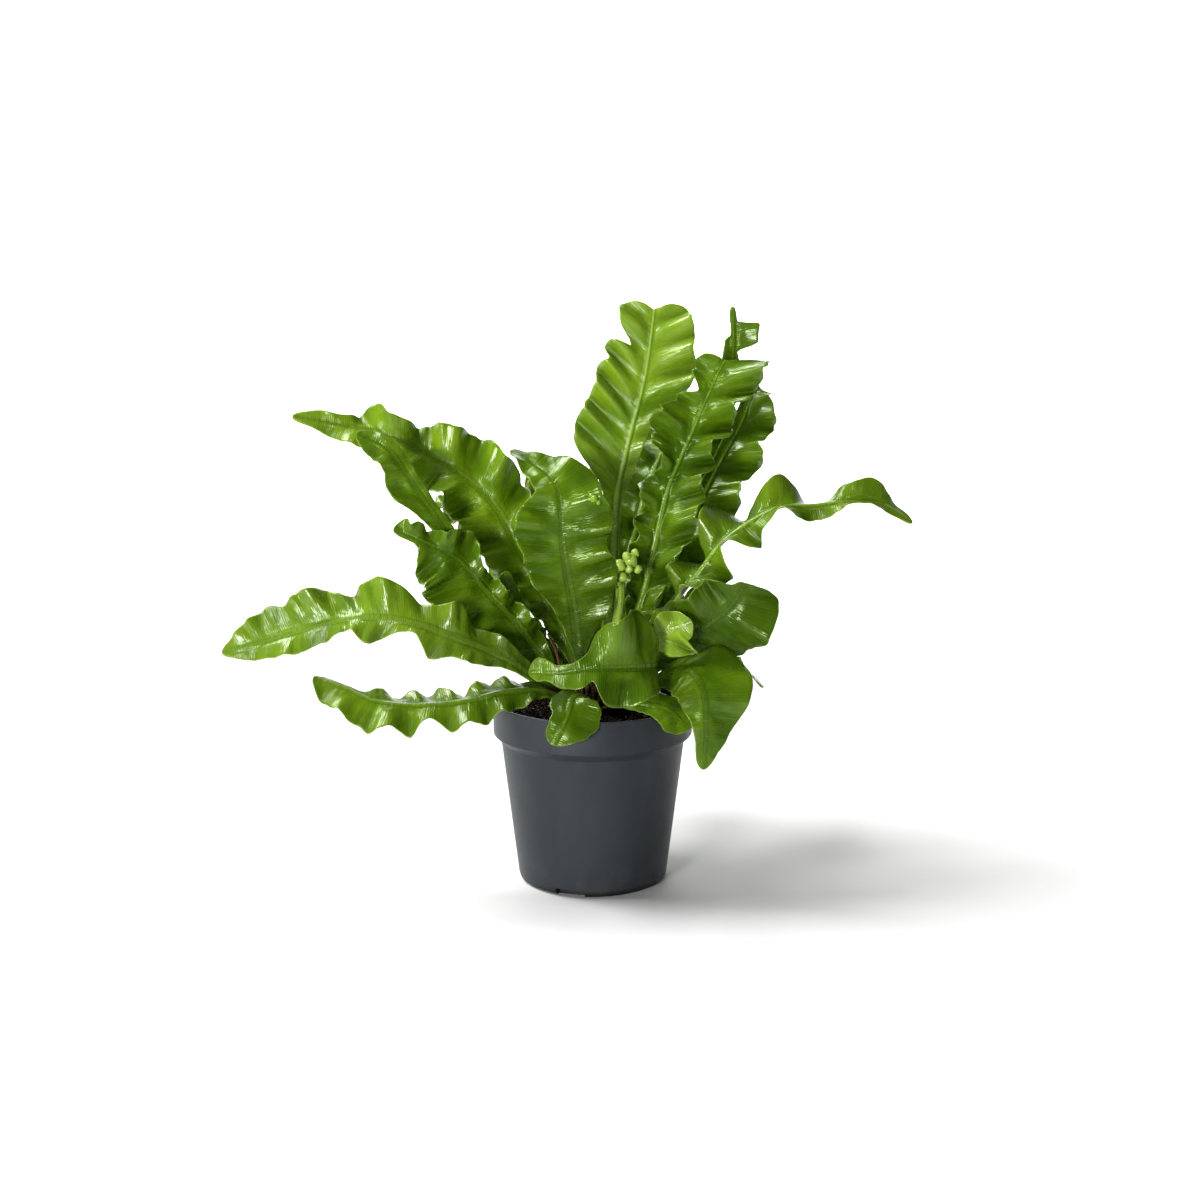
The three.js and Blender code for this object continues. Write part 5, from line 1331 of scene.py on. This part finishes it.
@dataclass(frozen=True)
class Soil:
    """Potting soil up to just under the rim, with crumbs, pale grit and fibres on top.

    Its top is level out to the radius level, then falls to edge_top at the rim.
    """

    top: float = 104.8
    edge_top: float = 103.6
    rim: float = 57.9
    shoulder: tuple[float, float] = (53.5, 87.5)
    band_bottom: float = 92.5
    base: float = 43.4
    bottom: float = 4.9
    crown: float = 17
    level: float = 48
    clear: float = 1.5  # how far bits stay from the wall
    crumbs: int = 2600
    lumps: int = 160
    grit: int = 190
    fibres: int = 90
    fibre_steps: int = 9
    around: int = 160
    clods: Pairs = ((0.31, 0.08, 1.3, 0.5), (-0.11, 0.27, 0.4, 0.5), (0.13, -0.37, 2.1, 0.4))

    def height(self, x: Array, y: Array) -> Array:
        """The top's height: clods, which are sines of a x + b y + c, and finer lumps."""
        clods = sum(high * np.sin(a * x + b * y + shift) for a, b, shift, high in self.clods)
        place = np.stack([x, y], -1)
        fine = 0.45 * ripple(place, 5, SEED, 14) + 0.25 * ripple(place, 2.2, SEED + 1, 14)
        rim = smoothstep(self.level, self.rim, np.hypot(x, y))
        return self.top + clods * (1 - 0.5 * rim) + fine + (self.edge_top - self.top) * rim

    def ground(self) -> Shape:
        """The closed body: rings up the pot's inner wall, then in to the middle of the top."""
        turn = np.arange(self.around) * TURN / self.around
        side = np.array([(1, self.bottom), (self.base - 1, self.bottom), (self.base, self.bottom + 1),
                         self.shoulder, (self.rim, self.band_bottom), (self.rim, self.edge_top - 1)])
        radii = np.concatenate([np.linspace(self.rim, 4, 54), [2, 1]])
        top = turned(np.stack([radii, radii * 0], 1), turn)
        top[..., 2] = self.height(top[..., 0], top[..., 1])
        return stacked(np.concatenate([turned(side, turn), top]), True)

    def scattered(self, rng: np.random.Generator, count: int, reach: float = 0) -> Array:
        """Random places on the top, even over its area.

        Args:
            rng: where the draws come from.
            count: how many places.
            reach: how far what stands there reaches to the side.

        Returns:
            The places, clear of the crown and the wall.
        """
        low, high = self.crown, self.rim - self.clear - reach
        radius = np.sqrt(rng.uniform(low**2, high**2, count))
        turn = rng.uniform(0, TURN, count)
        x, y = radius * np.cos(turn), radius * np.sin(turn)
        return np.stack([x, y, self.height(x, y)], 1)

    def bits(self, rng: np.random.Generator, count: int, low: float, high: float, sink: float) -> Shape:
        """Angular bits that lie in the top.

        Args:
            rng: where the draws come from.
            count: how many bits.
            low: the least width of a bit.
            high: the greatest.
            sink: the share of its size that is sunk in.

        Returns:
            The bits as one shape.
        """
        sizes = rng.uniform(low, high, (count, 1)) * rng.uniform(0.55, 1, (count, 3)) / 2
        centres = self.scattered(rng, count)
        centres[:, 2] += sizes.mean(1) * (1 - 2 * sink)
        return repeated(ball(0), centres, random_frames(rng, sizes))

    def threads(self, rng: np.random.Generator) -> Shape:
        """Short fibres that lie on the top, each bent to a parabola across its line."""
        count, steps = self.fibres, np.linspace(-0.5, 0.5, self.fibre_steps)
        middle = self.scattered(rng, count, 5)
        turn = rng.uniform(0, TURN, count)[:, None]
        bend, length = rng.uniform(-5, 5, (count, 1)), rng.uniform(4, 10, (count, 1))
        ahead, aside = length * steps, bend * (steps**2 - 0.1)
        x = middle[:, :1] + ahead * np.cos(turn) - aside * np.sin(turn)
        y = middle[:, 1:2] + ahead * np.sin(turn) + aside * np.cos(turn)
        radii = rng.uniform(0.12, 0.3, (count, 1)) + 0 * steps
        return strands(np.stack([x, y, self.height(x, y) + 0.5], -1), radii)

    def dress(self) -> None:
        """Makes the soil's pieces."""
        rng = np.random.default_rng(SEED)
        seated(self.ground().build("soil_ground", SOIL.material()), "soil", "soil")
        fine = self.bits(rng, self.crumbs, 0.9, 2.6, 0.3)
        coarse = self.bits(rng, self.lumps, 2.5, 4.5, 0.35)
        pieces = (
            ("soil_crumbs", Shape.joined([fine, coarse]), CRUMB),
            ("soil_grit", self.bits(rng, self.grit, 0.7, 1.5, 0.25), GRIT),
            ("soil_fibres", self.threads(rng), FIBRE),
        )
        for name, shape, finish in pieces:
            seated(shape.build(name, finish.material()), "soil")


@dataclass(frozen=True)
class Crown:
    """The short upright stem that the fronds grow from, clad in papery scales."""

    profile: Pairs = (
        (13, 97), (16.5, 101), (18.5, 106), (18.5, 111), (17.5, 116),
        (15, 121), (11, 126), (6, 129), (1, 130),
    )
    lean: float = 1.2  # how far its top leans in, in radians
    around: int = 72
    scales: int = 420
    scale_length: float = 9
    scale_width: float = 1.35
    scale_curl: float = 1
    hairs: int = 260
    hair_radii: tuple[float, float] = (0.14, 0.03)
    stub: Pairs = ((-15, -6, 116), (-19, -7, 130), (-22, -7, 142), (-27, -6, 152))
    stub_radius: float = 1.2

    def on(self, share: Array, turn: Array) -> tuple[Array, Array]:
        """Places on the crown's side and the way out of it.

        Args:
            share: 0 at the profile's foot and 1 at its top.
            turn: angles about the axis.

        Returns:
            Points and outward directions.
        """
        rows = np.asarray(self.profile, float)
        at = np.linspace(0, 1, len(rows))
        r, z = np.interp(share, at, rows[:, 0]), np.interp(share, at, rows[:, 1])
        tilt = share * self.lean
        out = np.stack([np.cos(turn) * np.cos(tilt), np.sin(turn) * np.cos(tilt), np.sin(tilt)], -1)
        return np.stack([r * np.cos(turn), r * np.sin(turn), z], -1), out

    def core(self) -> Shape:
        """Rings along the profile, made uneven along their way out."""
        rows = rounded(self.profile, 2, 3)
        rings = turned(rows, np.arange(self.around) * TURN / self.around)
        out = unit(rings * (1, 1, 0))
        return stacked(rings + out * 0.7 * ripple(rings, 5, SEED, 14)[..., None], True)

    def clad(self, rng: np.random.Generator) -> Shape:
        """Scales that curve outwards and lie one on another.

        A scale is a lens-shaped slip, as wide as sin(pi * (0.9 t + 0.12)) ^ 0.8 where t runs from
        its foot to its point.
        """
        t = np.linspace(0, 1, 6)[:, None]
        width = self.scale_width * np.sin(math.pi * np.clip(t * 0.9 + 0.12, 0, 1)) ** 0.8
        side, over = np.array([(1, 0), (0, 0.12), (-1, 0), (0, -0.12)]).T
        places = (width * side, over - self.scale_curl * t**2, t * self.scale_length + 0 * side)
        rings = np.stack(places, -1)
        pattern = stacked(rings)
        share, turn = rng.uniform(0.15, 0.98, self.scales), rng.uniform(0, TURN, self.scales)
        centres, out = self.on(share, turn)
        aside = unit(np.cross((0, 0, 1.0), out))
        up = unit(np.cross(out, aside) + 0.35 * out + rng.normal(0, 0.12, out.shape))
        out = np.cross(aside, up)
        sizes = rng.uniform(0.65, 1.15, (self.scales, 1, 1))
        return repeated(pattern, centres, np.stack([aside, -out, up], -1) * sizes)

    def fuzz(self, rng: np.random.Generator) -> Shape:
        """Fine hairs that stand out between the scales."""
        share, turn = rng.uniform(0.2, 1, self.hairs), rng.uniform(0, TURN, self.hairs)
        start, out = self.on(share, turn)
        way = unit(out + (0, 0, 0.9) + rng.normal(0, 0.35, out.shape))
        curl = rng.normal(0, 1, out.shape)
        t = np.linspace(0, 1, 6)[None, :, None]
        length = rng.uniform(4, 9, (self.hairs, 1, 1))
        paths = start[:, None] + way[:, None] * t * length + curl[:, None] * t**2 * 1.2
        radii = np.repeat(np.linspace(*self.hair_radii, 6)[None], self.hairs, 0)
        return strands(paths, radii)

    def stalk(self) -> Shape:
        """The dead stalk: a tube along its bent line, thinner and crumpled towards the end."""
        rows = np.asarray(self.stub, float)
        t = np.linspace(0, 1, 24)
        fit = np.stack([np.interp(t, np.linspace(0, 1, len(rows)), rows[:, k]) for k in range(3)], -1)
        fit[1:-1] = (fit[:-2] + 2 * fit[1:-1] + fit[2:]) / 4
        radii = self.stub_radius * (1 - 0.5 * t) * (1 + 0.15 * np.sin(t * 31))
        return strands(fit[None], radii[None], 8)

    def dress(self) -> None:
        """Makes the crown's pieces."""
        rng = np.random.default_rng(SEED + 2)
        seated(self.core().build("crown_core", CROWN.material()), "crown_scales", "crown")
        pieces = (
            ("crown_scales", self.clad(rng), SCALE),
            ("crown_hairs", self.fuzz(rng), FIBRE),
            ("dead_stalk", self.stalk(), STALK),
        )
        for name, shape, finish in pieces:
            seated(shape.build(name, finish.material()), "crown_scales")


@dataclass(frozen=True)
class Lamp:
    """A square soft light: its place and what it looks at, in metres, its side and its power."""

    name: str
    place: Triple
    side: float
    power: float
    aim: Triple = (0, 0, 0.16)

    def hang(self) -> None:
        """Makes the light."""
        data = bpy.data.lights.new(self.name, "AREA")
        data.energy, data.size = self.power, self.side
        lamp = bpy.data.objects.new(self.name, data)
        lamp.location = self.place
        x, y, z = np.subtract(self.aim, self.place)
        lamp.rotation_euler = (math.atan2(math.hypot(x, y), -z), 0, math.atan2(y, x) - math.pi / 2)
        bpy.context.scene.collection.objects.link(lamp)


@dataclass(frozen=True)
class Studio:
    """A pale floor that curves up far behind, soft light from the left, and the camera."""

    eye: Triple = (4.4, -1100, 381)
    dip: float = 10.8  # degrees below level
    lens: float = 56.22
    sensor: float = 36
    sky: float = 0.08
    reach: float = 6000  # how far the floor goes to the front and to the sides
    level: float = 3000  # how far behind it begins to bend
    bend: float = 1500
    top: float = 5000
    paper: tuple[Triple, Triple] = ((0.65, 0.65, 0.65), (0.67, 0.67, 0.67))
    lamps: tuple[Lamp, ...] = (
        Lamp("key", (-2.4, 0.5, 3.75), 2.1, 340),
        Lamp("front", (-1.5, -3.0, 0.5), 0.8, 122.4),
        Lamp("backdrop", (0, 2.4, 2.8), 2.5, 425, (0, 4.4, 0.9)),
    )

    def floor(self) -> None:
        """A wide sheet: level, then rising as a quarter round behind the plant."""
        turn = np.linspace(0, math.pi / 2, 24)
        curve = np.stack([self.level + self.bend * np.sin(turn), self.bend * (1 - np.cos(turn))], 1)
        line = np.concatenate([[(-self.reach, 0)], curve, [(self.level + self.bend, self.top)]])
        x, y = np.meshgrid(np.linspace(-self.reach, self.reach, 9), line[:, 0])
        points = np.stack([x, y, line[:, 1:] + 0 * x], -1).reshape(-1, 3)
        g = Graph("studio_paper")
        paper = g.principled({"Base Color": g.blend(g.noise(900, 2), *self.paper), "Roughness": 0.9})
        sheet = Shape(points, [grid_faces(len(line), 9, flip=True)])
        sheet.build("studio_floor", g.finish(paper.outputs[0]))

    def light(self) -> None:
        """The sky's even light and the lamps."""
        world = bpy.data.worlds.new("studio_sky")
        world.use_nodes = True
        sky = world.node_tree.nodes["Background"]
        sky.inputs["Color"].default_value = (1, 1, 1, 1)
        sky.inputs["Strength"].default_value = self.sky
        bpy.context.scene.world = world
        for lamp in self.lamps:
            lamp.hang()

    def camera(self) -> None:
        """The camera, where the photograph was taken from."""
        data = bpy.data.cameras.new("camera")
        data.lens, data.sensor_width, data.clip_end = self.lens, self.sensor, 50
        eye = bpy.data.objects.new("camera", data)
        eye.location = [c * MM for c in self.eye]
        eye.rotation_euler = (math.radians(90 - self.dip), 0, 0)
        bpy.context.scene.collection.objects.link(eye)
        bpy.context.scene.camera = eye

    def set_up(self) -> None:
        """Makes the whole studio."""
        self.floor()
        self.light()
        self.camera()
        bpy.context.scene.view_settings.view_transform = "Standard"


def corners(box: Sequence[Sequence[float]]) -> list[list[float]]:
    """A box as plain lists."""
    return [[float(c) for c in corner] for corner in box]


def main() -> None:
    """Builds the studio and every piece of the plant."""
    logging.basicConfig(level=logging.INFO, format="%(name)s: %(message)s")
    Studio().set_up()
    Pot().dress()
    Soil().dress()
    Crown().dress()
    leaves = {tone: finish.material() for tone, finish in LEAVES.items()}
    for frond in FRONDS:
        frond.dress([tip.shape() for tip in ROLLED.get(frond.name, ())], leaves)


if __name__ == "__main__":
    main()
